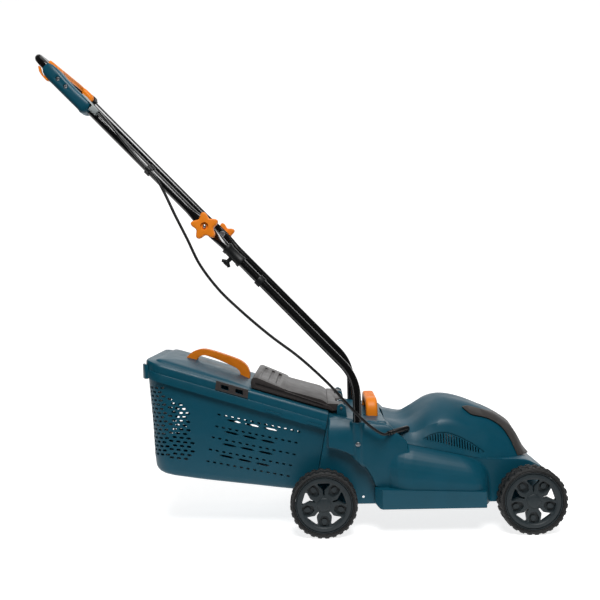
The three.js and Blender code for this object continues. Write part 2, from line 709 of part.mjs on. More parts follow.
function bailBracket() {
  // Clamp on the left tube that carries the far pin of the bail.
  const [along, off] = BAIL_PIVOT;
  const clamp = handleRod(along - 9, along + 9, TUBE_RADIUS + 4, TUBE_Y, 0, 16);
  const arm = handleBlock([along - 9, along + 9], [127, 146], [-2, 17], 4);
  return cut(
    clamp.add(arm), handleRod(along - 30, along + 30, TUBE_RADIUS + 0.5, TUBE_Y, 0, 16),
    handleRodY(3.4, 120, 137, along, off),
  );
}

// ---------------------------------------------------------------- cable and its clips
const CABLE_RADIUS = 3.2;
const CABLE_Y = -170;
const cableRoute = [
  [-490.2, -166, 969.7], [-479.1, -166, 958.2], [-440, -167, 909], [-410, -167, 870], [-385.6, -167, 840],
  [-370.5, -167, 824.2], [-356, -167, 808.5], [-338, -168, 775], [-314, CABLE_Y, 722], [-288, -172, 668],
  [-262, -173, 612], [-222, -172, 556], [-176, CABLE_Y, 509], [-112, CABLE_Y, 452], [-46, CABLE_Y, 400],
  [19, -171, 338], [56, -173, 296], [88, -175, 262], [116, -176.5, 238], [135.5, -175.2, 226.6],
  [145.7, -166.3, 227],
].map((point) => new THREE.Vector3(...point));

function powerCable() {
  const steps = 60;
  const stations = new THREE.CatmullRomCurve3(cableRoute, false, 'centripetal').getSpacedPoints(steps);
  return swept(stations, circleShape(CABLE_RADIUS, 8));
}

function cableClip(along, towardCable) {
  // A C-shaped clip round the right tube, with a small eye for the cable.
  const ring = handleRod(along - 7, along + 7, TUBE_RADIUS + 3.4, -TUBE_Y, 0, 16);
  const eyeCentre = onHandle(along, -167.2, towardCable);
  const eye = rodBetween(
    eyeCentre.clone().addScaledVector(handleUp, -7).toArray(),
    eyeCentre.clone().addScaledVector(handleUp, 7).toArray(), 6.4, 6.4, 12);
  const cableHole = rodBetween(
    eyeCentre.clone().addScaledVector(handleUp, -12).toArray(),
    eyeCentre.clone().addScaledVector(handleUp, 12).toArray(), 4.6, 4.6, 12);
  return cut(ring.add(eye), cableHole, handleRod(along - 20, along + 20, TUBE_RADIUS + GAP, -TUBE_Y, 0, 16));
}

function lowerTubePoint(fromPivot, y) {
  return new THREE.Vector3(PIVOT[0], y, PIVOT[1]).addScaledVector(lowerUp, -fromPivot);
}

function tubeSleeve(fromPivot, reach, radius) {
  // A rod around the right lower tube's axis.
  const ends = [-reach, reach].map((shift) => lowerTubePoint(fromPivot + shift, -TUBE_Y).toArray());
  return rodBetween(...ends, radius, radius, 16);
}

function lowerClip(fromPivot) {
  return cut(tubeSleeve(fromPivot, 6, TUBE_RADIUS + 3), tubeSleeve(fromPivot, 20, TUBE_RADIUS + GAP));
}

const HOOK_PLACE = 88; // below the fold axis, along the tube

function cordHook() {
  // Clip on the right lower tube with a hook that takes the slack of the extension lead.
  const behind = (distance) => (
    lowerTubePoint(HOOK_PLACE, -TUBE_Y).addScaledVector(lowerAcross, -distance).toArray());
  const clamp = tubeSleeve(HOOK_PLACE, 22, TUBE_RADIUS + 3.5);
  const stem = rodBetween(behind(0), behind(24), 5, 5, 10);
  const head = rodBetween(behind(22), behind(30), 9, 8, 12);
  return cut(join(clamp, stem, head), tubeSleeve(HOOK_PLACE, 40, TUBE_RADIUS + GAP));
}

function cableGland() {
  const start = new THREE.Vector3(...GLAND_OUT);
  const end = new THREE.Vector3(...GLAND_IN);
  return rodBetween(start.toArray(), end.toArray(), 5, 6.6, 12);
}

// ---------------------------------------------------------------- grass box
const lidPlane = (x) => LID_LEVEL + LID_SLOPE * x;
const seamLine = (x) => lidPlane(x) - LID_DEPTH;
const SEAM_LEAN = (SEAM_HIGH[0] - SEAM_LOW[0]) / (SEAM_HIGH[1] - SEAM_LOW[1]);
const faceX = (z) => SEAM_LOW[0] + SEAM_LEAN * (z - SEAM_LOW[1]);
const BOX_CLEAR = 1.2;

function boxSideOutline(inset) {
  const front = (z) => faceX(z) - BOX_CLEAR - inset;
  const seamFront = seamLine(7) + inset * 8;
  return outline([
    [BOX_BACK + inset, seamLine(BOX_BACK) + inset * 8], [BOX_BACK + 9 + inset, 169],
    [BOX_BACK + 22 + inset, 138 + inset], [BOX_BACK + 40, 127 + inset], [-300, 117 + inset],
    [-77, 92 + inset], [front(88), 88 + inset], [front(seamFront), seamFront],
  ]);
}

function boxCross(inset, lift = 0) {
  const top = BOX_TOP_HALF - inset;
  const low = BOX_BOTTOM_HALF - inset;
  return outline([[-low, 60 + lift], [low, 60 + lift], [top, 420], [-top, 420]]);
}

function boxPlan(inset) {
  // Rounded rear corners.
  const half = BOX_TOP_HALF + 6 - inset;
  const back = BOX_BACK - 14 + inset;
  return outline([[back, -half + 46], [back + 46, -half], [60, -half], [60, half], [back + 46, half],
    [back, half - 46]], 40 - inset, 5);
}

function panelSlots() {
  // Long slots in rows that run down towards the mower.
  const slots = [];
  for (let row = 0; row < 4; row += 1) {
    for (let i = 0; i < 3; i += 1) {
      const x = -196 + i * 33 - row * 5;
      const z = 285 - row * 27 + LID_SLOPE * (x + 196) * 0.72;
      slots.push(sidePlate([[x, z], [x + 25, z - 5.6], [x + 25, z - 1.6], [x, z + 4]], 90, 170));
    }
  }
  return bothSides(join(...slots));
}

function grassBox() {
  const outer = common(sidePlate(boxSideOutline(0), -160, 160), alongXPrism(boxCross(0), -420, 60),
    planPlate(boxPlan(10), 0, 500));
  const inner = common(sidePlate(boxSideOutline(WALL), -160, 160), alongXPrism(boxCross(WALL), -420, 60),
    planPlate(boxPlan(10 + WALL), 0, 500));
  const mouth = block([-60, 40], [-100, 100], [112, 262]);
  return cut(outer, inner, mouth, panelSlots());
}

const lidSection = [[-1, 0], [1, 0], [0.99, 0.42], [0.955, 0.47], [0.945, 0.76], [0.9, 0.94], [0.8, 1],
  [-0.8, 1], [-0.9, 0.94], [-0.945, 0.76], [-0.955, 0.47], [-0.99, 0.42]];
const lidCrown = [[-410, -22], [-404, -4], [-384, 13], [-366, 14], [-335, 14], [-165, 3], [-156, 0], [22, 0]];

function lidSkin(inset) {
  // Low crowned lid, cut off along the face that meets the deck.
  const below = inset ? -8 : GAP;
  const places = [-410, -404, -384, -366, -335, -165, -156, 22];
  const stations = places.map((x, i) => {
    const shift = i === 0 ? inset : 0;
    const top = lidPlane(x) + between(lidCrown, x) - inset;
    return [x + shift, BOX_TOP_HALF + 5 - inset, seamLine(x) + below, top];
  });
  const limit = (z) => [faceX(z) - BOX_CLEAR - inset, z];
  const behindFace = sidePlate([[-500, 60], limit(60), limit(460), [-500, 460]], -160, 160);
  return common(alongX(stations, lidSection), behindFace, planPlate(boxPlan(4 + inset), 0, 500));
}

function slopedBlock([x0, x1], [y0, y1], [d0, d1]) {
  // A block that follows the lid's plane, d0 to d1 above it.
  return sidePlate([[x0, lidPlane(x0) + d0], [x1, lidPlane(x1) + d0], [x1, lidPlane(x1) + d1],
    [x0, lidPlane(x0) + d1]], y0, y1);
}

function boxLid() {
  return cut(lidSkin(0), lidSkin(WALL),
    ...handleFeet().map(([x, reach]) => slopedBlock([x - reach, x + reach], [-10.4, 10.4], [-30, 30])));
}

function handleFeet() {
  return [[-316, 14], [-187, 12]];
}

function boxHandle() {
  // A flat bow handle on the lid's centre line.
  const corners = [[-325, 0, 372], [-309, 0, 403], [-292, 0, 404], [-190, 0, 369], [-185, 0, 320]];
  const stations = bentPath(corners, 7, 2);
  return swept(stations, outline([[-10, -9], [10, -9], [10, 9], [-10, 9]]));
}

function boxPlate() {
  // Thin cover in the lid's set-back side, with two square holes.
  const holes = [[-226, -208], [-194, -176]].map((range) => slopedBlock(range, [-160, -120], [-14, -5]));
  const clearance = lidSkin(0).translate([0, -GAP, GAP]).add(lidSkin(0).translate([0, -GAP, -GAP]));
  return cut(slopedBlock([-239, -165], [-147.5, -135], [-19, -2]), clearance, ...holes);
}

const LATCH_THICK = 6;

function boxLatch(side) {
  // Snap hook round a rear corner of the lid, reaching down over the seam.
  const lidPlan = 4 - GAP;
  const strip = cut(planPlate(boxPlan(lidPlan - LATCH_THICK), 348, 378), planPlate(boxPlan(lidPlan), 0, 500));
  const body = common(strip, block([-420, -380], [108, 130], [0, 500]));
  return side < 0 ? mirrored(body) : body;
}

// ---------------------------------------------------------------- rear flap and deck handle
const FLAP_CLEAR = 6.5; // space between the flap's lower edge and the lid

function flapSolid() {
  const top = [[-160, lidPlane(-160) + 16], [-150, lidPlane(-150) + 25], [-88, lidPlane(-88) + 23],
    [-14, lidPlane(-14) + 21], [22, lidPlane(22) + 16]];
  const low = [[30, lidPlane(30) + FLAP_CLEAR], [-160, lidPlane(-160) + FLAP_CLEAR]];
  const body = sidePlate([...top, ...low], -FLAP_HALF, FLAP_HALF);
  const room = [[-156, lidPlane(-156) - 5], [-156, lidPlane(-156) + 14], [-88, lidPlane(-88) + 19],
    [16, lidPlane(16) + 13], [16, lidPlane(16) - 5]];
  const hollow = sidePlate(room, -FLAP_HALF + WALL, FLAP_HALF - WALL);
  const barrels = [[-118, -76], [-40, 40], [76, 118]].map(([y0, y1]) => (
    rodY(8, y0, y1, FLAP_HINGE[0], FLAP_HINGE[1])));
  const webOutline = [[18, lidPlane(18) + 14], [18, lidPlane(18) + FLAP_CLEAR], [40, 273], [44, 286]];
  const web = sidePlate(webOutline, -118, 118);
  const gaps = [[-76, -40], [40, 76]].map(([y0, y1]) => block([34, 60], [y0, y1], [262, 300]));
  return cut(join(cut(body, hollow), web, ...barrels), ...gaps,
    rodY(3.4, -140, 140, FLAP_HINGE[0], FLAP_HINGE[1]));
}

const flapRod = () => rodY(3, -132, 132, FLAP_HINGE[0], FLAP_HINGE[1], 12);

function hingeLugs() {
  const shape = outline([[36, 240], [54, 240], [52, 284], [44, 288], [36, 284]], 4, 2);
  const lugs = [[-130, -120], [-75, -64], [64, 75], [120, 130]].map(([y0, y1]) => sidePlate(shape, y0, y1));
  return cut(join(...lugs), rodY(3.2, -140, 140, FLAP_HINGE[0], FLAP_HINGE[1]));
}

function flapSpring() {
  const coil = rodY(6.6, -60, -43, FLAP_HINGE[0], FLAP_HINGE[1], 16);
  return cut(coil, rodY(3.4, -80, -20, FLAP_HINGE[0], FLAP_HINGE[1], 12));
}

function deckHandle() {
  // Carrying bow across the deck in front of the tubes.
  const stations = bentPath([[114, -70, 246], [114, -70, 297], [114, 70, 297], [114, 70, 246]], 22);
  return swept(stations, outline([[-8, -16], [8, -16], [8, 16], [-8, 16]]));
}

// ---------------------------------------------------------------- assembly
const deckHandlePads = bothSides(block([97.5, 130.5], [61.5, 78.5], [240, 254]));
const deckBody = cut(deckSolid().add(hingeLugs()), deckHandlePads);
piece('deck', teal(), deckBody);
piece('motor_cover', teal(), coverSolid());
piece('cover_trim', charcoal(), trimSolid());
piece('deck_handle', orange(), deckHandle());
piece('motor_can', darkSteel(), motorCan());
piece('motor_shaft', steel(), motorShaft());
piece('cooling_fan', blackPlastic(), coolingFan());
piece('blade_carrier', blackPlastic(), bladeCarrier());
piece('blade', steel(), bladeSolid());
piece('blade_bolt', darkSteel(), bladeBolt());

wheel('rear_right', 0, -1);
wheel('rear_left', 0, 1);
wheel('front_right', WHEELBASE, -1);
wheel('front_left', WHEELBASE, 1);
piece('rear_axle', steel(), axleSolid(0));
piece('front_axle', steel(), axleSolid(WHEELBASE));

[['right', -1], ['left', 1]].forEach(([name, side]) => {
  piece(`lower_tube_${name}`, blackPaint(), lowerTube(side));
  piece(`tube_screw_${name}`, steel(), tubeScrew(side));
  piece(`star_knob_${name}`, orange(), knobSolid(side));
  piece(`pivot_bolt_${name}`, steel(), pivotBolt(side));
  piece(`box_latch_${name}`, teal(), boxLatch(side));
});
piece('upper_handle', blackPaint(), upperHandle());
piece('switch_box_outer', teal(), switchOuter());
piece('switch_box_inner', teal(), switchInner());
piece('switch_screw_top', steel(), switchScrew(SCREW_PLACES[1]));
piece('switch_screw_bottom', steel(), switchScrew(SCREW_PLACES[0]));
piece('safety_button', orange(), safetyButton());
piece('mains_inlet', greyPlastic(), mainsInlet());
piece('bail_lever', orange(), bailLever());
piece('bail_bracket', blackPlastic(), bailBracket());

piece('power_cable', rubber(), powerCable());
piece('cable_clip_upper', blackPlastic(), cableClip(178, 0));
piece('cable_clip_lower', blackPlastic(), lowerClip(170));
piece('cord_hook', blackPlastic(), cordHook());
piece('cable_gland', rubber(), cableGland());

piece('grass_box', teal(), grassBox());
piece('grass_box_lid', teal(), boxLid());
piece('grass_box_handle', orange(), boxHandle());
piece('grass_box_plate', charcoal(), boxPlate());
piece('rear_flap', charcoal(), flapSolid());
piece('flap_rod', steel(), flapRod());
piece('flap_spring', steel(), flapSpring());

const bounds = new THREE.Box3().setFromObject(mower);
mower.position.set(-(bounds.min.x + bounds.max.x) / 2, -(bounds.min.y + bounds.max.y) / 2, -bounds.min.z);

const model = new THREE.Group();
model.add(mower);
export default model;
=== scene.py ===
# Corded rotary lawn mower with a rear grass box: looks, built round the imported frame.
# Lengths are written in millimetres from the rear axle on the ground and placed in metres.
import math

import bpy
from mathutils import Matrix, Vector


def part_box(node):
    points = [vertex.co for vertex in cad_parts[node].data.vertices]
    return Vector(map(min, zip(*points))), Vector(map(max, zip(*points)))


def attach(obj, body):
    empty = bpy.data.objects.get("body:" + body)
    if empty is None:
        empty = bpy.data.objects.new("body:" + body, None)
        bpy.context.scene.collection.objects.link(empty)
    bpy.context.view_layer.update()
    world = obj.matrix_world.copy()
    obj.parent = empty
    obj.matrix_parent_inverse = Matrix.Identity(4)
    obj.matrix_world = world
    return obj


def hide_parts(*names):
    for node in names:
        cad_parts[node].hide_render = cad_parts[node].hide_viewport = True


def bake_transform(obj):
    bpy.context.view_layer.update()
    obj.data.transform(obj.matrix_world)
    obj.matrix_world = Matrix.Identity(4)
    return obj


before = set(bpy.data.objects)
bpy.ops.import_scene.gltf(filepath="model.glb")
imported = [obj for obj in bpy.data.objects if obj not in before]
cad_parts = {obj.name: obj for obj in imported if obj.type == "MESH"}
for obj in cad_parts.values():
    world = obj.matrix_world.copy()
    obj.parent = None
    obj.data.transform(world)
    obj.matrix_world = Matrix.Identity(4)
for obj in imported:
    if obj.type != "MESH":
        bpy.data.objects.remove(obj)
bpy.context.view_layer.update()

MM = 0.001
axle_low, axle_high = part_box("rear_axle")
AXLE_X = (axle_low.x + axle_high.x) / 2


def at(x, y, z):
    """A point in millimetres from the rear axle on the ground, as a place in the frame."""
    return Vector((AXLE_X + x * MM, y * MM, z * MM))


# ---- camera, floor, light
def make_camera():
    """Camera level with the handle's middle on the mower's right side, turned a little down."""
    yaw, pitch, roll = math.radians(-1.104), math.radians(-1.866), math.radians(-1.367)
    forward = Vector((math.sin(yaw) * math.cos(pitch), math.cos(yaw) * math.cos(pitch), math.sin(pitch)))
    level = Vector((math.cos(yaw), -math.sin(yaw), 0))
    upright = level.cross(forward)
    right = level * math.cos(roll) + upright * math.sin(roll)
    up = upright * math.cos(roll) - level * math.sin(roll)
    bpy.ops.object.camera_add(location=at(-10.43, -1840, 582.36))
    camera = bpy.context.object
    turn = Matrix((right, up, -forward)).transposed()
    camera.rotation_euler = turn.to_euler()
    camera.data.lens = 45.42
    camera.data.sensor_width = 36
    bpy.context.scene.camera = camera


def clear_selection():
    for chosen in list(bpy.context.selected_objects):
        chosen.select_set(False)


def pick(piece):
    clear_selection()
    piece.select_set(True)
    bpy.context.view_layer.objects.active = piece


def edit(piece, *steps):
    """Runs edit-mode steps on the whole piece."""
    pick(piece)
    bpy.ops.object.mode_set(mode="EDIT")
    bpy.ops.mesh.select_all(action="SELECT")
    for step in steps:
        step()
    bpy.ops.object.mode_set(mode="OBJECT")


def merge_doubles():
    bpy.ops.mesh.remove_doubles(threshold=2e-6)


def face_outwards():
    bpy.ops.mesh.select_all(action="SELECT")
    bpy.ops.mesh.normals_make_consistent(inside=False)


def close_ends():
    bpy.ops.mesh.select_all(action="DESELECT")
    bpy.ops.mesh.select_non_manifold(extend=False, use_wire=False, use_multi_face=False,
                                     use_non_contiguous=False, use_verts=False)
    bpy.ops.mesh.fill_holes(sides=0)


# ---- lines
def value_at(points, x):
    """Height at x of a smooth line through the points."""
    if x <= points[0][0]:
        return points[0][1]
    if x >= points[-1][0]:
        return points[-1][1]
    i = next(k for k in range(1, len(points)) if points[k][0] >= x)
    (x0, z0), (x1, z1) = points[i - 1], points[i]
    run = x1 - x0
    slope = (z1 - z0) / run
    before = slope if i == 1 else (z1 - points[i - 2][1]) / (x1 - points[i - 2][0])
    after = slope if i == len(points) - 1 else (points[i + 1][1] - z0) / (points[i + 1][0] - x0)
    t = (x - x0) / run
    return (z0 * (2 * t ** 3 - 3 * t ** 2 + 1) + before * run * (t ** 3 - 2 * t ** 2 + t)
            + z1 * (3 * t ** 2 - 2 * t ** 3) + after * run * (t ** 3 - t ** 2))


def straight_at(points, x):
    """Height at x of the straight-edged line through the points."""
    i = next((k for k in range(1, len(points)) if points[k][0] >= x), len(points) - 1)
    (x0, z0), (x1, z1) = points[i - 1], points[i]
    return z0 + (z1 - z0) * (x - x0) / (x1 - x0)


def rounded(points, radius, steps=5):
    """An outline with its corners rounded."""
    corners = [Vector(p) for p in points]
    line = []
    for i, corner in enumerate(corners):
        before, after = corners[i - 1], corners[(i + 1) % len(corners)]
        size = radius[i] if isinstance(radius, (list, tuple)) else radius
        reach = min(size, (before - corner).length / 2.02, (after - corner).length / 2.02)
        start = corner + (before - corner).normalized() * reach
        end = corner + (after - corner).normalized() * reach
        for k in range(steps + 1):
            t = k / steps
            line.append(start * (1 - t) ** 2 + corner * 2 * t * (1 - t) + end * t ** 2)
    return line


def flowing(points, spacing):
    """Evenly spaced points along a smooth curve through the given ones."""
    first, last = points[0] * 2 - points[1], points[-1] * 2 - points[-2]
    knots = [first, *points, last]
    fine = []
    for i in range(1, len(knots) - 2):
        p0, p1, p2, p3 = knots[i - 1:i + 3]
        t1 = (p1 - p0).length ** 0.5
        t2 = t1 + (p2 - p1).length ** 0.5
        t3 = t2 + (p3 - p2).length ** 0.5
        for k in range(24):
            t = t1 + (t2 - t1) * k / 24
            a1 = p0 * ((t1 - t) / t1) + p1 * (t / t1)
            a2 = p1 * ((t2 - t) / (t2 - t1)) + p2 * ((t - t1) / (t2 - t1))
            a3 = p2 * ((t3 - t) / (t3 - t2)) + p3 * ((t - t2) / (t3 - t2))
            b1 = a1 * ((t2 - t) / t2) + a2 * (t / t2)
            b2 = a2 * ((t3 - t) / (t3 - t1)) + a3 * ((t - t1) / (t3 - t1))
            fine.append(b1 * ((t2 - t) / (t2 - t1)) + b2 * ((t - t1) / (t2 - t1)))
    fine.append(points[-1].copy())
    lengths = [0.0]
    for a, b in zip(fine, fine[1:]):
        lengths.append(lengths[-1] + (b - a).length)
    count = max(2, round(lengths[-1] / spacing))
    even, k = [], 0
    for i in range(count + 1):
        goal = lengths[-1] * i / count
        while k < len(fine) - 2 and lengths[k + 1] < goal:
            k += 1
        share = (goal - lengths[k]) / (lengths[k + 1] - lengths[k])
        even.append(fine[k].lerp(fine[k + 1], min(1.0, share)))
    return even


def bent(corners, radius, steps=10):
    """A path of straight runs joined by round bends; radius in metres."""
    path = [corners[0]]
    for before, corner, after in zip(corners, corners[1:], corners[2:]):
        start = corner + (before - corner).normalized() * radius
        end = corner + (after - corner).normalized() * radius
        shares = [k / steps for k in range(steps + 1)]
        path += [start * (1 - t) ** 2 + corner * 2 * t * (1 - t) + end * t ** 2 for t in shares]
    path.append(corners[-1])
    return path


def circle(radius, sides=20):
    turns = [2 * math.pi * k / sides for k in range(sides)]
    return [(radius * math.cos(turn), radius * math.sin(turn)) for turn in turns]


def on_side(side, near, far):
    """The two distances from the middle plane, as a low and a high one on the given side."""
    return sorted((side * near, side * far))


def to_midline(ring):
    return [Vector((point.x, 0, point.z)) for point in ring]


# ---- making meshes
def skin(name, rings, ends=True):
    """A grid drawn round a row of cross-sections, its ends closed."""
    count, rows = len(rings[0]), len(rings)
    clear_selection()
    bpy.ops.mesh.primitive_grid_add(x_subdivisions=count, y_subdivisions=rows - 1, size=1)
    piece = bpy.context.object
    piece.name = name
    places = []
    for ring in rings:
        for point in [*ring, ring[0]]:
            places += point[:]
    piece.data.vertices.foreach_set("co", places)
    steps = [merge_doubles]
    if ends:
        steps.append(close_ends)
    edit(piece, *steps, face_outwards)
    return piece


def prism(name, outline, low, high, axis="Y"):
    """A flat outline drawn on a plane and pulled to its thickness, in millimetres."""
    put = {"Y": lambda u, v, w: at(u, w, v), "Z": lambda u, v, w: at(u, v, w),
           "X": lambda u, v, w: at(w, u, v)}[axis]
    clear_selection()
    bpy.ops.mesh.primitive_circle_add(vertices=len(outline), radius=1, fill_type="NGON")
    piece = bpy.context.object
    piece.name = name
    for vertex, (u, v) in zip(piece.data.vertices, outline):
        vertex.co = put(u, v, low)
    pull = put(0, 0, high) - put(0, 0, low)
    edit(piece, lambda: bpy.ops.mesh.extrude_region_move(TRANSFORM_OT_translate={"value": pull}),
         face_outwards)
    return piece


def sweep(name, path, section, across):
    """A section carried along a path; its first direction stays as near to across as it can."""
    rings = []
    last = len(path) - 1
    for i, point in enumerate(path):
        ahead = (path[min(i + 1, last)] - path[max(i - 1, 0)]).normalized()
        side = (across - ahead * across.dot(ahead)).normalized()
        up = ahead.cross(side)
        shape = section(i) if callable(section) else section
        rings.append([point + side * (u * MM) + up * (v * MM) for u, v in shape])
    return skin(name, rings)


def rod(name, start, end, radius, far_radius=None, sides=20):
    """A straight round bar, tapered where a far radius is given."""
    axis = end - start
    across = Vector((0, 0, 1)) if abs(axis.normalized().z) < 0.9 else Vector((1, 0, 0))
    far = radius if far_radius is None else far_radius
    return sweep(name, [start, end], lambda i: circle(far if i else radius, sides), across)


def cross_rod(name, x, z, low, high, radius, sides=20):
    """A round bar that runs across the mower."""
    return rod(name, at(x, low, z), at(x, high, z), radius, sides=sides)


def turned(name, profile, centre, axis="Y", sides=48, closed=False):
    """A profile of radius and distance along the axis, turned round it."""
    rings = []
    for radius, along in profile:
        ring = []
        for u, v in circle(radius, sides):
            offset = {"Y": (u, along, v), "Z": (u, v, along)}[axis]
            ring.append(centre + Vector(offset) * MM)
        rings.append(ring)
    return skin(name, rings + rings[:1] if closed else rings, ends=not closed)


def apply_modifier(piece, kind, **settings):
    modifier = piece.modifiers.new("work", kind)
    for key, value in settings.items():
        setattr(modifier, key, value)
    pick(piece)
    bpy.ops.object.modifier_apply(modifier=modifier.name)


def combine(piece, tool, operation="DIFFERENCE"):
    apply_modifier(piece, "BOOLEAN", operation=operation, object=tool, solver="MANIFOLD")
    if not len(piece.data.polygons):
        raise RuntimeError(f"nothing is left of {piece.name}")
    bpy.data.objects.remove(tool)
    return piece


def fuse(piece, *others):
    for other in others:
        combine(piece, other, "UNION")
    return piece


def cut(piece, *tools):
    for tool in tools:
        combine(piece, tool)
    return piece


def overlap(piece, *tools):
    for tool in tools:
        combine(piece, tool, "INTERSECT")
    return piece


def round_edges(piece, width, segments=2, angle=32):
    apply_modifier(piece, "BEVEL", width=width * MM, segments=segments, limit_method="ANGLE",
                   angle_limit=math.radians(angle), use_clamp_overlap=True, harden_normals=False)
    return piece


def soften(piece, grain, passes, keep):
    """Melts a joined body into one skin with small fillets in its corners."""
    apply_modifier(piece, "REMESH", mode="VOXEL", voxel_size=grain * MM)
    apply_modifier(piece, "SMOOTH", factor=0.5, iterations=passes)
    if keep < 1:
        apply_modifier(piece, "DECIMATE", ratio=keep)
    return piece


def duplicate(piece, name, move):
    """A copy with its own mesh, moved by a matrix."""
    copy = piece.copy()
    copy.data = piece.data.copy()
    copy.name = name
    copy.data.transform(move)
    bpy.context.collection.objects.link(copy)
    return copy


def finish_piece(piece, name, material, body, slot, *nodes, smooth=35):
    piece.name = name
    piece.data.name = name
    piece.data.materials.clear()
    piece.data.materials.append(material)
    pick(piece)
    bpy.ops.object.shade_smooth_by_angle(angle=math.radians(smooth))
    if body:
        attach(piece, body)
    if nodes:
        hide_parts(*nodes)
    return piece


# ---- materials
def linear(code):
    """A hex colour as the linear colour that the shader takes."""
    parts = [int(code[i:i + 2], 16) / 255 for i in (0, 2, 4)]
    return [(c / 12.92 if c <= 0.04045 else ((c + 0.055) / 1.055) ** 2.4) for c in parts] + [1.0]


def feed(tree, node, inputs):
    """Gives a node its values, and links it where a value is another node's output."""
    for key, value in inputs.items():
        if isinstance(value, bpy.types.NodeSocket):
            tree.links.new(value, node.inputs[key])
        else:
            node.inputs[key].default_value = value


def add_node(tree, kind, inputs, out=0, **settings):
    """Adds a node with its settings and links, and returns the output that is read."""
    made = tree.nodes.new(kind)
    for key, value in settings.items():
        setattr(made, key, value)
    feed(tree, made, inputs)
    return made.outputs[out]


def new_material(name):
    material = bpy.data.materials.new(name)
    material.use_nodes = True
    tree = material.node_tree
    return material, tree, tree.nodes["Principled BSDF"], add_node(tree, "ShaderNodeTexCoord", {}, "Object")


def moulded(name, colour, tint, rough_low, rough_high, grain, depth):
    """Injection-moulded plastic: a spark-eroded grain in the tool, faint flow marks from the melt."""
    material, tree, shader, place = new_material(name)
    flow = add_node(tree, "ShaderNodeTexNoise", {"Vector": place, "Scale": 1 / 0.09, "Detail": 3.0,
                                                 "Roughness": 0.55, "Distortion": 0.6})
    handling = add_node(tree, "ShaderNodeTexNoise", {"Vector": place, "Scale": 1 / 0.03, "Detail": 5.0,
                                                     "Roughness": 0.65})
    etched = add_node(tree, "ShaderNodeTexNoise", {"Vector": place, "Scale": 1 / (grain * MM), "Detail": 2.0,
                                                   "Roughness": 0.6})
    feed(tree, shader, {
        "Base Color": add_node(tree, "ShaderNodeMix", {0: flow, 6: linear(colour), 7: linear(tint)}, 2,
                               data_type="RGBA"),
        "Roughness": add_node(tree, "ShaderNodeMapRange",
                              {"Value": handling, "From Min": 0.3, "From Max": 0.7,
                                                           "To Min": rough_low, "To Max": rough_high}),
        "Normal": add_node(tree, "ShaderNodeBump", {"Height": etched, "Strength": 0.35,
                                                    "Distance": depth * MM}),
        "IOR": 1.5, "Specular IOR Level": 0.3})
    return material


def rubber_like(name, colour, dust, roughness, grain, depth):
    """Vulcanised rubber or soft PVC: matt, with a little pale dust held in the grain."""
    material, tree, shader, place = new_material(name)
    patches = add_node(tree, "ShaderNodeTexNoise", {"Vector": place, "Scale": 1 / 0.02, "Detail": 6.0,
                                                    "Roughness": 0.7})
    dusty = add_node(tree, "ShaderNodeMapRange", {"Value": patches, "From Min": 0.45, "From Max": 0.8,
                                                  "To Max": 0.5})
    pores = add_node(tree, "ShaderNodeTexVoronoi", {"Vector": place, "Scale": 1 / (grain * MM)})
    feed(tree, shader, {
        "Base Color": add_node(tree, "ShaderNodeMix", {0: dusty, 6: linear(colour), 7: linear(dust)}, 2,
                               data_type="RGBA"),
        "Normal": add_node(tree, "ShaderNodeBump", {"Height": pores, "Strength": 0.4,
                                                    "Distance": depth * MM}),
        "Roughness": roughness, "IOR": 1.5})
    return material


def stoved_paint(name, colour, roughness):
    """Powder coat baked on a steel tube: glossy, with the long ripple of orange peel."""
    material, tree, shader, place = new_material(name)
    peel = add_node(tree, "ShaderNodeTexNoise", {"Vector": place, "Scale": 1 / 0.0025, "Detail": 1.0,
                                                 "Roughness": 0.4})
    rubbed = add_node(tree, "ShaderNodeTexNoise", {"Vector": place, "Scale": 1 / 0.04, "Detail": 4.0,
                                                   "Roughness": 0.6})
    feed(tree, shader, {
        "Roughness": add_node(tree, "ShaderNodeMapRange", {"Value": rubbed, "From Min": 0.3, "From Max": 0.75,
                                                           "To Min": roughness, "To Max": roughness + 0.12}),
        "Normal": add_node(tree, "ShaderNodeBump", {"Height": peel, "Strength": 0.25, "Distance": 0.06 * MM}),
        "Base Color": linear(colour), "IOR": 1.5, "Coat Weight": 0.4, "Coat Roughness": 0.08})
    return material


def metal(name, colour, stain, roughness, stretch):
    """Bare or plated steel: drawn and brushed, so its marks run along one way."""
    material, tree, shader, place = new_material(name)
    along = add_node(tree, "ShaderNodeMapping", {"Vector": place, "Scale": stretch})
    marks = add_node(tree, "ShaderNodeTexNoise", {"Vector": along, "Scale": 1 / 0.001, "Detail": 3.0,
                                                  "Roughness": 0.6})
    spots = add_node(tree, "ShaderNodeTexNoise", {"Vector": place, "Scale": 1 / 0.012, "Detail": 4.0,
                                                  "Roughness": 0.6})
    feed(tree, shader, {
        "Base Color": add_node(tree, "ShaderNodeMix", {0: spots, 6: linear(colour), 7: linear(stain)}, 2,
                               data_type="RGBA"),
        "Roughness": add_node(tree, "ShaderNodeMapRange", {"Value": marks, "From Min": 0.3, "From Max": 0.7,
                                                           "To Min": roughness, "To Max": roughness + 0.15}),
        "Normal": add_node(tree, "ShaderNodeBump", {"Height": marks, "Strength": 0.3, "Distance": 0.02 * MM}),
        "Metallic": 1.0})
    return material


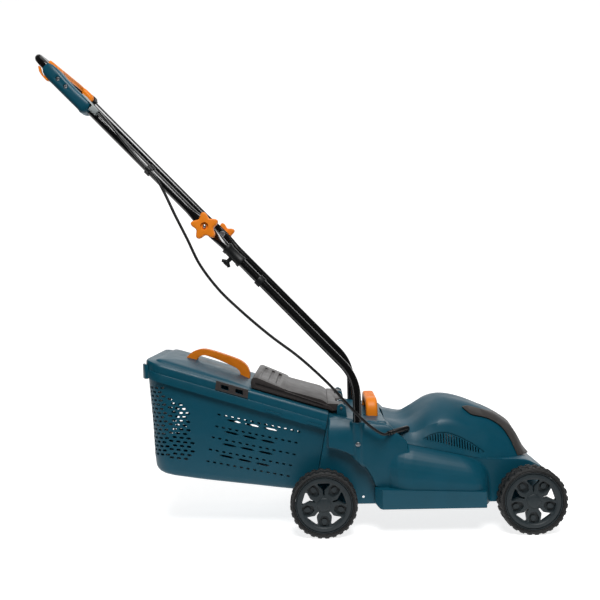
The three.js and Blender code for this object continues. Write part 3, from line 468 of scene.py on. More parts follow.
TEAL = moulded("teal_polypropylene", "05485C", "04404F", 0.34, 0.46, 0.9, 0.05)
ORANGE = moulded("orange_nylon", "EE871A", "E27A12", 0.4, 0.5, 0.8, 0.05)
CHARCOAL = moulded("charcoal_polypropylene", "3A3735", "302E2D", 0.42, 0.55, 1.1, 0.09)
FLAP_GREY = moulded("flap_polypropylene", "3C3837", "34302F", 0.36, 0.48, 1.1, 0.08)
BLACK_PLASTIC = moulded("black_nylon", "111213", "17191A", 0.38, 0.5, 0.7, 0.05)
GREY_PLASTIC = moulded("grey_inlet_plastic", "9AA0A0", "8E9595", 0.4, 0.5, 0.7, 0.04)
SLATE = moulded("slate_wheel_plastic", "252D31", "20282B", 0.4, 0.52, 0.9, 0.06)
TYRE = rubber_like("tyre_rubber", "101213", "1C1E1E", 0.62, 0.8, 0.12)
CABLE_SHEATH = rubber_like("cable_pvc", "0A0B0C", "111213", 0.34, 0.5, 0.02)
TUBE_PAINT = stoved_paint("tube_powder_coat", "050506", 0.16)
PLATED = metal("zinc_plated_steel", "C3C6C9", "A9ADB2", 0.22, (1, 0.15, 1))
BLADE_STEEL = metal("blade_spring_steel", "6E7378", "4C5054", 0.35, (1, 0.1, 1))
CASTING = metal("motor_cast_shell", "4B4E52", "3B3E42", 0.4, (1, 1, 0.2))


# ---- cable
CABLE_RADIUS = 3.2
cable_points = [
    (-0.4902, -0.166, 0.9697), (-0.4791, -0.166, 0.9582), (-0.44, -0.167, 0.909), (-0.41, -0.167, 0.87),
    (-0.3856, -0.167, 0.84), (-0.3705, -0.167, 0.8242), (-0.356, -0.167, 0.8085), (-0.338, -0.168, 0.775),
    (-0.314, -0.17, 0.722), (-0.288, -0.172, 0.668), (-0.262, -0.173, 0.612), (-0.222, -0.172, 0.556),
    (-0.176, -0.17, 0.509), (-0.112, -0.17, 0.452), (-0.046, -0.17, 0.4), (0.019, -0.171, 0.338),
    (0.056, -0.173, 0.296), (0.088, -0.175, 0.262), (0.116, -0.1765, 0.238), (0.1355, -0.1752, 0.2266),
    (0.1457, -0.1663, 0.227),
]


def make_cable():
    """Power cable from the switch box along the tube and down to the motor cover."""
    route = flowing([Vector((x + AXLE_X, y, z)) for x, y, z in cable_points], 5 * MM)
    cable = sweep("cable_run", route, circle(CABLE_RADIUS, 14), Vector((0, 1, 0)))
    cable.data.materials.append(CABLE_SHEATH)
    pick(cable)
    bpy.ops.object.shade_smooth_by_angle(angle=math.radians(50))
    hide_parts("power_cable")
    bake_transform(cable)


make_camera()
make_cable()


# ---- wheels
WHEEL_RADIUS = 75
WHEELBASE = 460
WHEEL_MIDDLE = -172
LUGS = 28


def tyre_rings():
    """Cross-sections round the tyre, its blocks raised and its grooves let in."""
    side = [(63.9, 13.5), (64.2, 15.6), (65, 16.6), (65.9, 16.2), (66.6, 15.2), (67.6, 15.6), (68.6, 17.2),
            (71.4, 17.9)]
    blocks = [(16.9, 73.9, 72.2, 0), (14.8, 75.0, 72.7, 0), (11.2, 75.0, 72.7, 0), (5.6, 75.0, 72.7, 0),
              (4.6, 72.7, 72.7, 0), (2.4, 72.7, 72.7, 1), (1.6, 75.0, 72.7, 1)]
    pattern = [(0.02, 0), (0.1, 1), (0.34, 1), (0.58, 1), (0.66, 0), (0.84, 0)]
    rows = [(r, r, -o, 0) for r, o in side]
    rows += [(top, low, -o, shift) for o, top, low, shift in blocks]
    rows += [(top, low, o, shift) for o, top, low, shift in reversed(blocks)]
    rows += [(r, r, o, 0) for r, o in reversed(side)]
    middle = at(0, WHEEL_MIDDLE, WHEEL_RADIUS)
    rings = []
    for top, low, offset, shift in rows:
        ring = []
        for lug in range(LUGS):
            for share, raised in pattern:
                angle = 2 * math.pi * (lug + share + 0.5 * shift) / LUGS
                radius = top if raised else low
                ring.append(middle + Vector((radius * math.cos(angle), offset,
                                             radius * math.sin(angle))) * MM)
        rings.append(ring)
    return rings


def wheel_prism(outline, angle, low, high):
    """A shape in the wheel's face, turned to its place round the hub."""
    c, s = math.cos(math.radians(angle)), math.sin(math.radians(angle))
    line = [(u * s + v * c, v * s - u * c + WHEEL_RADIUS) for u, v in outline]
    return prism("wheel_shape", line, WHEEL_MIDDLE + low, WHEEL_MIDDLE + high)


def make_rim():
    """Five-spoked rim with its slots and pockets cut through, and the hub cap."""
    middle = at(0, WHEEL_MIDDLE, WHEEL_RADIUS)
    profile = [(6.6, -13), (16, -13.4), (22, -12.6), (48, -12.6), (51, -13.4), (52.5, -14.8), (58, -15.4),
               (59.6, -15), (60.3, -12), (61.2, -12), (61.8, -16), (63, -16.2), (63.5, -15), (63.5, 14),
               (60, 15), (57, 14), (55, -2), (20, -3), (16, -3), (16, 15), (6.6, 15)]
    rim = turned("rim", profile, middle, sides=96, closed=True)
    slot = rounded([(-1.7, 20), (1.7, 20), (2.3, 32), (14, 44), (13, 47.5), (-13, 47.5), (-14, 44),
                    (-2.3, 32)],
                   1.6, 3)
    pocket = rounded([(-5.5, 24), (5.5, 24), (12.5, 37), (9.5, 49.5), (-9.5, 49.5), (-12.5, 37)], 2.6, 3)
    knuckle = rounded([(-4, 33), (4, 33), (6, 39), (3, 46), (-3, 46), (-6, 39)], 1.5, 2)
    for step in range(5):
        turn = 90 + 72 * step
        rim = cut(rim, wheel_prism(slot, turn, -20, 4))
        rim = cut(rim, wheel_prism(pocket, turn + 36, -20, -5))
    round_edges(rim, 0.7, 2, 40)
    for step in range(5):
        rim = fuse(rim, wheel_prism(knuckle, 126 + 72 * step, -8.4, -4.5))
    cap = turned("hub_cap", [(0, -16.4), (9, -16.1), (14, -15.2), (15.2, -14.2), (15.4, -13.5), (0, -13.5)],
                 middle)
    return rim, cap


def make_wheels():
    """One wheel is modelled and copied to the four places."""
    tyre = skin("tyre", (rings := tyre_rings()) + rings[:1], ends=False)
    rim, cap = make_rim()
    places = {"rear_right": Matrix.Identity(4), "front_right": Matrix.Translation((WHEELBASE * MM, 0, 0))}
    axle = at(0, 0, 0)
    flip = Matrix.Translation(axle) @ Matrix.Rotation(math.pi, 4, "Z") @ Matrix.Translation(-axle)
    places["rear_left"] = flip
    places["front_left"] = places["front_right"] @ flip
    shapes = [(tyre, "tyre", "tread", TYRE, "tyre_rubber"), (rim, "rim", "spokes", SLATE, "rim_plastic"),
              (cap, "hub_cap", "hub_disc", SLATE, "rim_plastic")]
    for name, move in places.items():
        for shape, node, kind, material, slot in shapes:
            copy = duplicate(shape, f"{kind}_{name}", move)
            finish_piece(copy, f"{kind}_{name}", material, f"wheel_{name}", slot, f"{node}_{name}", smooth=32)
    for shape, *_ in shapes:
        bpy.data.objects.remove(shape)


make_wheels()


# ---- handle tubes and knobs
TUBE_Y = 150
TUBE_RADIUS = 9.5
PIVOT_X, PIVOT_Z = -248, 695
PIVOT = at(PIVOT_X, 0, PIVOT_Z)
GRIP = at(-621, 0, 1088)
HANDLE_LENGTH = (GRIP - PIVOT).length / MM
handle_up = (GRIP - PIVOT).normalized()
handle_normal = Vector((handle_up.z, 0, -handle_up.x))
SIDEWAYS = Vector((0, 1, 0))
SOCKET_X = 79
SIDES = (("right", -1), ("left", 1))


def on_handle(along, y, off=0):
    return PIVOT + handle_up * (along * MM) + handle_normal * (off * MM) + SIDEWAYS * (y * MM)


def pressed_share(run):
    """How flat a tube is at a distance from the fold axis: 1 flat, 0 round."""
    t = min(1.0, max(0.0, (run - 14) / 46))
    return 1 - t * t * (3 - 2 * t)


def flattened_tube(path, pivots):
    """A round tube pressed flat where it runs past the fold axis, beside its partner."""
    moved, shares = [], []
    for point in path:
        share, shift = 0.0, 0.0
        for pivot, toward, offset in pivots:
            run = (point - pivot).dot(toward) / MM
            if (point - pivot).length < 0.1 and run < 60:
                share, shift = pressed_share(run), offset
        moved.append(point + SIDEWAYS * (shift * share * MM))
        shares.append(share)

    def section(i):
        wide, thin = 1 + 0.25 * shares[i], 1 - 0.64 * shares[i]
        return [(u * thin, v * wide) for u, v in circle(TUBE_RADIUS, 28)]

    return moved, section


def dense(corners, radius):
    """A bent path with extra stations along its straight runs."""
    path = bent(corners, radius)
    fine = [path[0]]
    for a, b in zip(path, path[1:]):
        count = min(60, round((b - a).length / (4 * MM))) if (b - a).length > 12 * MM else 1
        fine += [a.lerp(b, k / count) for k in range(1, count + 1)]
    return fine


def make_tubes():
    lower_up = (PIVOT - at(SOCKET_X, 0, 350)).normalized()
    for name, side in SIDES:
        pivot = PIVOT + SIDEWAYS * (side * TUBE_Y * MM)
        end = pivot + lower_up * (16 * MM)
        path = dense([end, at(SOCKET_X, side * TUBE_Y, 350), at(SOCKET_X, side * TUBE_Y, 168.3)], 46 * MM)
        path, section = flattened_tube(path, [(pivot, -lower_up, -side * 4)])
        tube = sweep(f"lower_tube_bar_{name}", path, section, SIDEWAYS)
        finish_piece(tube, f"lower_tube_bar_{name}", TUBE_PAINT, "chassis", "black_paint",
                     f"lower_tube_{name}", smooth=60)
    right, left = [on_handle(-16, side * TUBE_Y) for side in (-1, 1)]
    path = dense([right, on_handle(HANDLE_LENGTH, -TUBE_Y), on_handle(HANDLE_LENGTH, TUBE_Y), left], 46 * MM)
    pivots = [(PIVOT + SIDEWAYS * (side * TUBE_Y * MM), handle_up, side * 4) for side in (-1, 1)]
    path, section = flattened_tube(path, pivots)
    bar = sweep("upper_handle_bar", path, lambda i: [(v, u) for u, v in section(i)], handle_normal)
    finish_piece(bar, "upper_handle_bar", TUBE_PAINT, "handle", "black_paint", "upper_handle", smooth=60)


def make_knob(name, side):
    def lathe(part, profile, sides):
        return turned(part, [(r, side * y) for r, y in profile], PIVOT, sides=sides)

    star = []
    for k in range(100):
        angle = 2 * math.pi * k / 100
        lobe = ((1 + math.cos(5 * (angle - math.radians(94)))) / 2) ** 1.25
        radius = 20 + 11 * lobe
        star.append((PIVOT_X + radius * math.cos(angle), PIVOT_Z + radius * math.sin(angle)))
    knob = prism("knob", star, side * 166, side * 184)
    round_edges(knob, 3.2, 4, 50)
    knob = fuse(knob, lathe("collar", [(0, 158.3), (12, 158.3), (14, 160), (15, 167), (0, 167)], 40))
    knob = cut(knob, lathe("bowl", [(0, 179.5), (7.6, 180), (9.2, 184.5), (9.2, 190), (0, 190)], 40),
               lathe("bore", [(0, 150), (4.4, 150), (4.4, 182), (0, 182)], 24))
    finish_piece(knob, f"star_knob_grip_{name}", ORANGE, f"knob_{name}", "orange_plastic",
                 f"star_knob_{name}", smooth=40)
    bolt = lathe("bolt", [(0, 135), (6.4, 135), (8, 137), (8, 141.6), (4, 141.6), (4, 182), (3.2, 183.2),
                          (1.6, 183.9), (0, 184)], 32)
    finish_piece(bolt, f"fold_bolt_{name}", PLATED, "chassis", "bright_steel", f"pivot_bolt_{name}",
                 smooth=40)


make_tubes()
for knob_name, knob_side in SIDES:
    make_knob(knob_name, knob_side)


# ---- motor cover
COVER_REAR, COVER_FRONT = 146, 482
GLAND_OUTER, GLAND_INNER = at(146, -166, 227), at(194, -124, 229)
belt_line = [(100, 212), (178, 200), (345, 163), (460, 157), (492, 150)]
ridge_line = [(146, 252), (153, 252), (182, 247), (211, 260), (241, 277), (275, 288), (314, 285), (362, 269),
              (410, 246), (440, 225), (453, 213), (466, 189), (482, 154)]
top_crease = [(146, 243), (180, 235), (203, 237), (228, 255), (256, 273), (286, 280), (321, 276.5),
              (366, 261.5), (412, 237), (440, 216), (453, 203), (466, 182), (482, 153)]
low_crease = [(146, 233), (180, 226), (203, 221), (222, 227), (244, 238.5), (273, 246), (303, 243),
              (336, 230), (366, 217), (412, 193), (440, 176), (453, 169), (466, 162), (482, 152)]
top_half = [(146, 62), (205, 52), (300, 50), (380, 50), (430, 50), (453, 46), (466, 42), (482, 30)]
low_half = [(146, 130), (205, 126), (300, 122), (380, 116), (430, 103), (453, 87), (466, 75), (482, 46)]
belt_half = [(146, 141), (345, 141), (400, 131), (437, 116), (453, 101), (466, 85), (476, 68), (482, 54)]


def cover_section(x, grow, drop):
    """Half of the cover's cross-section, from the belt up to the ridge."""
    belt = straight_at(belt_line, x) + 0.3
    low = (straight_at(low_half, x), value_at(low_crease, x))
    top = (straight_at(top_half, x), value_at(top_crease, x))
    peak = (0.0, value_at(ridge_line, x))
    foot = (straight_at(belt_half, x), belt)

    def mix(a, b, t):
        return (a[0] + (b[0] - a[0]) * t, a[1] + (b[1] - a[1]) * t)

    middle = mix(foot, low, 0.5)
    line = [foot, mix(foot, low, 0.25), (middle[0] + 1.0, middle[1]), mix(foot, low, 0.8),
            mix(foot, low, 0.94),
            mix(low, top, 0.08), mix(low, top, 0.3), mix(low, top, 0.55), mix(low, top, 0.9),
            mix(top, peak, 0.06), mix(top, peak, 0.25), mix(top, peak, 0.5), mix(top, peak, 0.75), peak]
    crown = [0, 0, 0, 0, 0, 1, 4, 5.5, 2, 1.5, 1.6, 1.2, 0.4, 0]
    fade = min(1.0, max(0.0, (470 - x) / 60))
    grown = []
    for k, (half, height) in enumerate(line):
        lift = 0.0 if k == 0 else grow * min(1.0, k / 5)
        height = max(height + lift, belt + 0.2 * k)
        if k < 13:
            height = min(height + crown[k] * fade, max(peak[1] + grow, belt + 0.2 * k))
        grown.append((max(half + grow, 0.0), height))
    return [(grown[0][0], belt - drop), *grown] if drop else grown


def cover_skin(name, grow, drop=0.0):
    rings = []
    count = 56
    for k in range(count + 1):
        x = COVER_REAR + (COVER_FRONT - COVER_REAR) * k / count
        place = x - grow if k == 0 else x + grow if k == count else x
        half = cover_section(x, grow, drop)
        rings.append([at(place, -y, z) for y, z in half] + [at(place, y, z) for y, z in reversed(half[:-1])])
    return skin(name, rings)


def make_cover():
    """Motor cover with its cooling slots, and the dark band over its front."""
    cover = cut(cover_skin("cover", 0), cover_skin("inside", -3, 20))
    eye = rounded([(226, 206), (242, 215), (262, 220.5), (284, 220), (309, 211), (338, 195), (368, 173),
                   (352, 169),
                   (330, 174.5), (287, 187), (240, 200)], 5, 3)
    skin_depth = cut(cover_skin("outer", 6), cover_skin("recess", -2.2, 20))
    cover = cut(cover, overlap(skin_depth, prism("eye", eye, -190, 190)))
    slots = []
    for k in range(20):
        x = 238 + 6.0 * k
        top = value_at([(226, 206), (242, 213), (262, 218), (284, 217), (309, 208), (338, 192), (368, 171)],
                       x)
        low = value_at([(226, 204), (240, 202), (287, 189.5), (330, 177), (352, 171)], x)
        if top - low > 5:
            slots.append(prism("slot", [(x - 1.2, low + 1.5), (x + 1.2, low + 1), (x + 1.2, top - 2),
                                        (x - 1.2, top - 1.5)], -190, 190))
    cover = cut(cover, *slots, rod("gland_way", GLAND_OUTER, GLAND_INNER, 5.3, 6.9))
    round_edges(cover, 0.5, 1, 40)
    finish_piece(cover, "motor_cover_moulding", TEAL, "chassis", "teal_plastic", "motor_cover", smooth=28)
    band = rounded([(327, 267.5), (344, 267.5), (385, 255), (420, 241), (438, 229.5), (500, 229.5),
                    (500, 150), (449, 150), (444, 166), (433, 198), (416, 223), (385, 242), (345, 252)],
                   [3, 6, 16, 10, 2, 0, 0, 1, 8, 14, 14, 14, 8], 4)
    layer = cut(cover_skin("trim_outer", 2.6), cover_skin("trim_inner", 0.3, 20))
    trim = overlap(layer, prism("band", band, -150, 150))
    round_edges(trim, 0.9, 2, 40)
    finish_piece(trim, "cover_trim_band", CHARCOAL, "chassis", "charcoal_plastic", "cover_trim", smooth=28)


make_cover()


# ---- deck
DECK_BOTTOM = 62
MOTOR_X = 248
SCREW_Z = 203
FLAP_HINGE = (44, 279)


def deck_core(inset):
    half = 140 - inset
    front = 527 - inset
    side = [(-27 + inset, DECK_BOTTOM), (-18 + inset, 100), (15 + inset, 268), (47, 258), (91, 252),
            (144 - inset, 249), (154 - inset, 206), (178, 200), (345, 163), (460, 157), (488, 140),
            (509, 128),
            (524, 106), (527, DECK_BOTTOM)]
    side = [(min(x, front), z - inset) for x, z in side]
    radii = [4, 4, 5, 20, 20, 5, 5, 10, 30, 24, 12, 12, 14, 3]
    plan = rounded([(-40, -half), (-40, half), (front - 50, half), (front - 14, half * 0.7),
                    (front, half * 0.3),
                    (front, -half * 0.3), (front - 14, -half * 0.7), (front - 50, -half)], 34, 5)
    return overlap(prism("core", rounded(side, radii, 4), -half, half), prism("plan", plan, 0, 320, "Z"))


def fender(inset):
    """The deck's side above a rear wheel, outside the wheel arch."""
    half = 160 - inset
    arch = [Vector((0, 75)) + (121 + inset) * Vector((math.cos(math.radians(a)), math.sin(math.radians(a))))
            for a in range(15, 87, 3)]
    side = [*arch, (13, 232), (17 + inset, 268 - inset), (91, 250 - inset), (150, 242 - inset),
            (190, 203 - inset),
            (190, 86 - 2 * inset)]
    cross = rounded([(-half, 40), (half, 40), (half, 218), (half - 5, 240), (half - 22, 264),
                     (-half + 22, 264),
                     (-half + 5, 240), (-half, 218)], [0, 0, 20, 16, 10, 10, 16, 20], 4)
    return overlap(prism("fender", side, -half, half), prism("cross", cross, -30, 200, "X"))


def plan_points(half, rear, front, radius, side_steps=22, rear_radius=None):
    """A rounded rectangle seen from above."""
    corner_steps = end_steps = 8
    ring = []
    back = radius if rear_radius is None else rear_radius
    centres = [(rear + back, -half + back, 180, 270, back),
               (front - radius, -half + radius, 270, 360, radius),
               (front - radius, half - radius, 0, 90, radius), (rear + back, half - back, 90, 180, back)]
    for cx, cy, start, stop, bend in centres:
        for k in range(corner_steps + 1):
            angle = math.radians(start + (stop - start) * k / corner_steps)
            ring.append((cx + bend * math.cos(angle), cy + bend * math.sin(angle)))
        if (start, stop) in ((180, 270), (0, 90)):
            step = 1 if start == 180 else -1
            span = front - rear - radius - back
            ring += [(cx + step * span * k / side_steps, ring[-1][1]) for k in range(1, side_steps)]
        else:
            step = 1 if start == 270 else -1
            span = 2 * (half - bend)
            last_x = ring[-1][0]
            ring += [(last_x, cy + step * span * k / end_steps) for k in range(1, end_steps)]
    return ring


def plan_ring(half, rear, front, radius, height, side_steps=22, rear_radius=None):
    outline = plan_points(half, rear, front, radius, side_steps, rear_radius=rear_radius)
    return [at(x, y, height(x)) for x, y in outline]


drum_levels = [(0.0, 180, 116, 374, 46), (0.34, 178.5, 116, 374, 46), (0.5, 177.5, 116, 373, 46),
               (0.62, 175.5, 116, 371.5, 46), (0.72, 172, 116, 369, 46), (0.8, 168, 118, 365.5, 46),
               (0.87, 163, 121, 361, 45), (0.93, 156.5, 126, 355, 44), (0.97, 150, 132, 348, 42),
               (1.0, 141, 140, 338, 40)]


def drum(inset):
    rings = []
    for share, half, rear, front, radius in drum_levels:
        def height(x):
            return DECK_BOTTOM - inset + share * (straight_at(belt_line, x) - 1 - DECK_BOTTOM)

        rings.append(plan_ring(half - inset, rear + inset, front - inset, radius - inset, height,
                               rear_radius=radius + 34 - inset))
    rings.append(to_midline(rings[-1]))
    return skin("drum", rings)


def skirt_flange(inset):
    side = rounded([(115 + inset, 70), (124 + inset, DECK_BOTTOM - 1 - inset),
                    (359 - inset, DECK_BOTTOM - 1 - inset),
                    (359 - inset, 96 - inset), (115 + inset, 105 - inset)], 2, 2)
    plan = [(114, -164), (130, -182), (360, -182), (360, 182), (130, 182), (114, 164)]
    return overlap(prism("flange", side, -190, 190), prism("plan", plan, 40, 120, "Z"))


def make_deck():
    """Hollow deck: fenders, drum, handle sockets and the openings for what it carries."""
    def spindle(part, profile, sides=48):
        return turned(part, profile, at(MOTOR_X, 0, 0), "Z", sides)

    outer = fuse(deck_core(0), fender(0), drum(0))
    for side in (-1, 1):
        pillar = rod("pillar", at(SOCKET_X, side * TUBE_Y, 140), at(SOCKET_X, side * TUBE_Y, 251), 14,
                     sides=40)
        room = cross_rod("wheel_room", 0, WHEEL_RADIUS, side * 139, side * 200, 117, 96)
        outer = fuse(outer, cut(pillar, room))
    soften(outer, 2.0, 4, 0.5)
    outer = fuse(outer, skirt_flange(0))
    ledge = prism("ledge", rounded([(33, 236), (44, 240), (60, 240), (54, 284), (44, 290), (35, 284)], 5, 3),
                  -130, 130)
    gaps = [prism("gap", [(20, 256), (70, 256), (70, 300), (20, 300)], low, high)
            for low, high in ((-120, -75), (-64, 64), (75, 120))]
    outer = fuse(outer, cut(ledge, *gaps))
    slim_fender = overlap(fender(3), prism("middle", [(-60, 0), (300, 0), (300, 300), (-60, 300)], -137, 137))
    hollow = fuse(deck_core(3), slim_fender, drum(3))
    seat = spindle("seat", [(0, 174), (66, 174), (66, 182), (0, 182)])
    chute = prism("chute", rounded([(-60, 112), (-60, 236), (40, 236), (40, 112)], 6, 3), -96, 96)
    deck = fuse(cut(outer, hollow), seat)
    tools = [cover_skin("cover_room", 0.3), chute,
             rod("gland_way", at(140, -171, 227), GLAND_INNER, 5.3, 6.9),
             spindle("shaft_way", [(0, 150), (10, 150), (10, 186), (0, 186)], 32),
             spindle("seat_room", [(0, 182.1), (60, 182.1), (60, 250), (0, 250)])]
    tools += [cross_rod("axle_way", x, WHEEL_RADIUS, -200, 200, 6.4) for x in (0, WHEELBASE)]
    for side in (-1, 1):
        tools += [rod("socket", at(SOCKET_X, side * TUBE_Y, 168), at(SOCKET_X, side * TUBE_Y, 300), 9.9,
                      sides=40),
                  cross_rod("screw_way", SOCKET_X, SCREW_Z, side * 140, side * 170, 2.6, 16),
                  cross_rod("screw_rest", SOCKET_X, SCREW_Z, side * 163.4, side * 170, 6.2, 24),
                  cross_rod("drain_hole", 90, 78, side * 130, side * 170, 3, 16),
                  prism("handle_seat", [(97, 240), (131, 240), (131, 262), (97, 262)],
                        *on_side(side, 61, 79))]
    tools.append(cross_rod("hinge_way", *FLAP_HINGE, -140, 140, 3.2))
    deck = cut(deck, *tools)
    finish_piece(deck, "deck_moulding", TEAL, "chassis", "teal_plastic", "deck", smooth=38)


def make_deck_handle():
    """Carrying bow: a broad band with rounded edges and shallow grip grooves on top."""
    path = bent([at(117.5, -70, 240.5), at(117.5, -70, 282), at(117.5, 70, 282), at(117.5, 70, 240.5)],
                24 * MM, 12)
    band = rounded([(-13.8, -8), (13.8, -8), (13.8, 8), (-13.8, 8)], [3, 3, 12.5, 12.5], 7)
    bow = sweep("bow", path, band, Vector((-1, 0, 0)))
    grooves = [prism("groove", [(90, 289.2), (140, 289.2), (140, 300), (90, 300)], y,
                     y + 3) for y in range(-36, 40, 8)]
    bow = cut(bow, *grooves)
    round_edges(bow, 0.5, 2, 50)
    finish_piece(bow, "deck_handle_bow", ORANGE, "chassis", "orange_plastic", "deck_handle", smooth=40)


make_deck()
make_deck_handle()


# ---- grass box
def lid_plane(x):
    return 276 - 0.31 * x


def face_x(z):
    """Where the sloping joint between box and deck lies."""
    return -18 + 38 * (z - 100) / 192


floor_line = [(-420, 133), (-366, 128), (-300, 118.5), (-180, 104), (-77, 92), (60, 84)]
back_line = [(110, -384), (169, -388.5), (260, -391.5), (343, -396.5), (400, -399)]
FACE_CLEAR = 1.2


def seam(x):
    return lid_plane(x) - 41


def front_block(clear):
    """Everything ahead of the joint with the deck."""
    low, high = face_x(40) - clear, face_x(460) - clear
    return prism("ahead", [(low, 40), (120, 40), (120, 460), (high, 460)], -220, 220)


def box_skin(inset, tall=0.0):
    """Closed body of the grass box, rounded along its bottom and rear corners."""
    foot = [(0.0, 15, 26), (2.0, 8.5, 18), (5.0, 4, 12), (9.0, 1.4, 7), (14.0, 0.2, 3.5), (20.0, 0, 1)]
    shares = [0.12, 0.25, 0.4, 0.55, 0.7, 0.85, 1.0]
    levels = [(lambda x, h=h: value_at(floor_line, x) + h, d, e) for h, d, e in foot]
    for share in shares:
        levels.append((lambda x, f=share: (value_at(floor_line, x) + 20) * (1 - f) + (seam(x) + tall) * f, 0,
                       0))
    rings = []
    for height, narrow, short in levels:
        radius = 40 - inset
        ring = []
        for x, y in plan_points(143 - narrow - inset, -400, 100, radius):
            z = height(x) + (inset if narrow else 0)
            wide = (128 + 15 * (z - 60) / 360 - narrow - inset) / (143 - narrow - inset)
            rear = value_at(back_line, z) + short + inset
            ring.append(at(rear + (x + 400) * (100 - rear) / 500, y * wide, z))
        rings.append(ring)
    return skin("box", [to_midline(rings[0]), *rings, to_midline(rings[-1])])


def punches(name, holes):
    """One body of many small six-sided cutters: middle, long way, short way, and the way through."""
    corners, faces = [], []
    for middle, long_way, short_way, through in holes:
        start = len(corners)
        for depth in (-1, 1):
            for u, v in ((1, 0), (0.55, 1), (-0.55, 1), (-1, 0), (-0.55, -1), (0.55, -1)):
                corners.append(middle + long_way * u + short_way * v + through * depth)
        faces += [[start + k for k in range(5, -1, -1)], [start + 6 + k for k in range(6)]]
        faces += [[start + k, start + (k + 1) % 6, start + 6 + (k + 1) % 6, start + 6 + k] for k in range(6)]
    mesh = bpy.data.meshes.new(name)
    mesh.from_pydata(corners, [], faces)
    tool = bpy.data.objects.new(name, mesh)
    bpy.context.collection.objects.link(tool)
    edit(tool, face_outwards)
    return tool


def side_holes():
    """Short and long slots of the side panels, cut straight through both walls."""
    holes = []
    through = Vector((0, 0.2, 0))

    def row(start, stop, count, length, height):
        run = Vector((stop[0] - start[0], 0, stop[1] - start[1]))
        along = run.normalized()
        for k in range(count):
            middle = at(start[0], 0, start[1]) + run * (MM * k / (count - 1))
            holes.append((middle, along * (length / 2 * MM), Vector((0, 0, height / 2 * MM)), through))

    for start, stop in (((-233, 271), (-53, 228)), ((-239, 244), (-60, 203)), ((-248, 219), (-65, 176)),
                        ((-255, 191), (-74, 151)), ((-262, 164), (-80, 126))):
        row(start, stop, 13, 9, 4.2)
    for start, stop in (((-200, 255), (-118, 235)), ((-206, 228), (-124, 207)), ((-212, 200), (-130, 181)),
                        ((-219, 174), (-137, 154))):
        row(start, stop, 3, 35, 5)
    right = [(170, -294), (190, -288), (240, -292), (288, -301), (312, -340), (318, -352)]
    half_length, half_height = 5.6 * MM, 2.6 * MM
    for line in range(20):
        for k in range(8):
            x = -376 + 16 * k + (8 if line % 2 else 0)
            z = 181 + 9.6 * line - 0.13 * (x + 394)
            edge = value_at(right, z) if z < 318 else -400
            top = 330 + 0.55 * (-350 - x) if x < -350 else 318 - 0.6 * (x + 350)
            if x + 6 < edge and z < top and x > -351:
                holes.append((at(x, 0, z), Vector((half_length, 0, -0.7 * MM)), Vector((0, 0, half_height)),
                              through))
    return punches("side_holes", holes)


def rear_holes():
    """The same openings carried round the rear corners and across the back."""
    holes = []
    radius = 40
    turn = math.pi / 2 * radius
    count = 22
    for line in range(17):
        z = 181 + 9.6 * line
        half = 128 + 15 * (z - 60) / 360
        rear = value_at(back_line, z)
        flat = 2 * (half - radius)
        for k in range(count):
            s = (2 * turn + flat) * (k + (0.75 if line % 2 else 0.25)) / count
            if s < turn:
                angle = math.radians(270) - s / radius
                centre_y = -half + radius
            elif s > turn + flat:
                angle = math.radians(180) - (s - turn - flat) / radius
                centre_y = half - radius
            else:
                angle, centre_y = math.pi, -half + radius + s - turn
            out = Vector((math.cos(angle), math.sin(angle), 0))
            middle = at(rear + radius, centre_y, z) + out * (radius * MM)
            along = Vector((-out.y, out.x, 0))
            holes.append((middle, along * (5.6 * MM), Vector((0, 0, 2.6 * MM)), out * (7 * MM)))
    return punches("rear_holes", holes)


def make_box():
    """Thin-walled grass box, open towards the deck."""
    box = cut(box_skin(0), box_skin(3, 30))
    wall = overlap(box_skin(0.1), cut(front_block(FACE_CLEAR + 3), front_block(FACE_CLEAR)))
    mouth = prism("mouth", rounded([(-60, 112), (60, 112), (60, 262), (-60, 262)], 8, 3), -100, 100)
    box = fuse(cut(box, front_block(FACE_CLEAR)), cut(wall, mouth))
    box = cut(box, side_holes(), rear_holes())
    finish_piece(box, "grass_box_shell", TEAL, "collector", "teal_plastic", "grass_box", smooth=35)


lid_crown = [(-412, -1), (-396, 3), (-384, 8), (-371, 11.5), (-346, 13), (-331, 12.5), (-250, 9), (-173, 4),
             (-150, 0), (30, 0)]


def lid_skin(inset):
    """Lid drawn in level lines from its hanging edge in to the raised middle."""
    levels = [(0, -40.7, 0), (0, -23, 0), (0.4, -22.2, 0), (2.2, -21.4, 0), (2.6, -7, 0), (3.4, -3.6, 0),
              (5.2, -1.2, 0), (9, 0, 0), (18, 0.6, 0.05), (24, 1, 0.1), (27, 1.8, 0.32), (31, 2.4, 0.44),
              (40, 2.6, 0.52), (70, 2.8, 0.8), (105, 3, 1.0), (130, 3, 1.03)]
    rings = []
    for narrow, rise, crown in levels:
        sunk = inset if rise > -40 else 12 if inset else 0

        def height(x):
            lift = rise if rise < 0 else rise * min(1, max(0.1, (-150 - x) / 60))
            return lid_plane(x) + lift + crown * value_at(lid_crown, x) - sunk

        rings.append(plan_ring(147 - narrow - inset, -404 + narrow + inset, 60, max(44 - narrow - inset, 6),
                               height, 40))
    return skin("lid", [to_midline(rings[0]), *rings, to_midline(rings[-1])])


def below_lid(points):
    """Points given by their height over the lid's sloping plane."""
    return [(x, lid_plane(x) + height) for x, height in points]


def plate_windows():
    half, low, high = 8.5, -14.5, -4.5
    return [prism("window", below_lid([(x - half, low), (x + half, low), (x + half, high), (x - half, high)]),
                  -150, -135) for x in (-217, -185)]


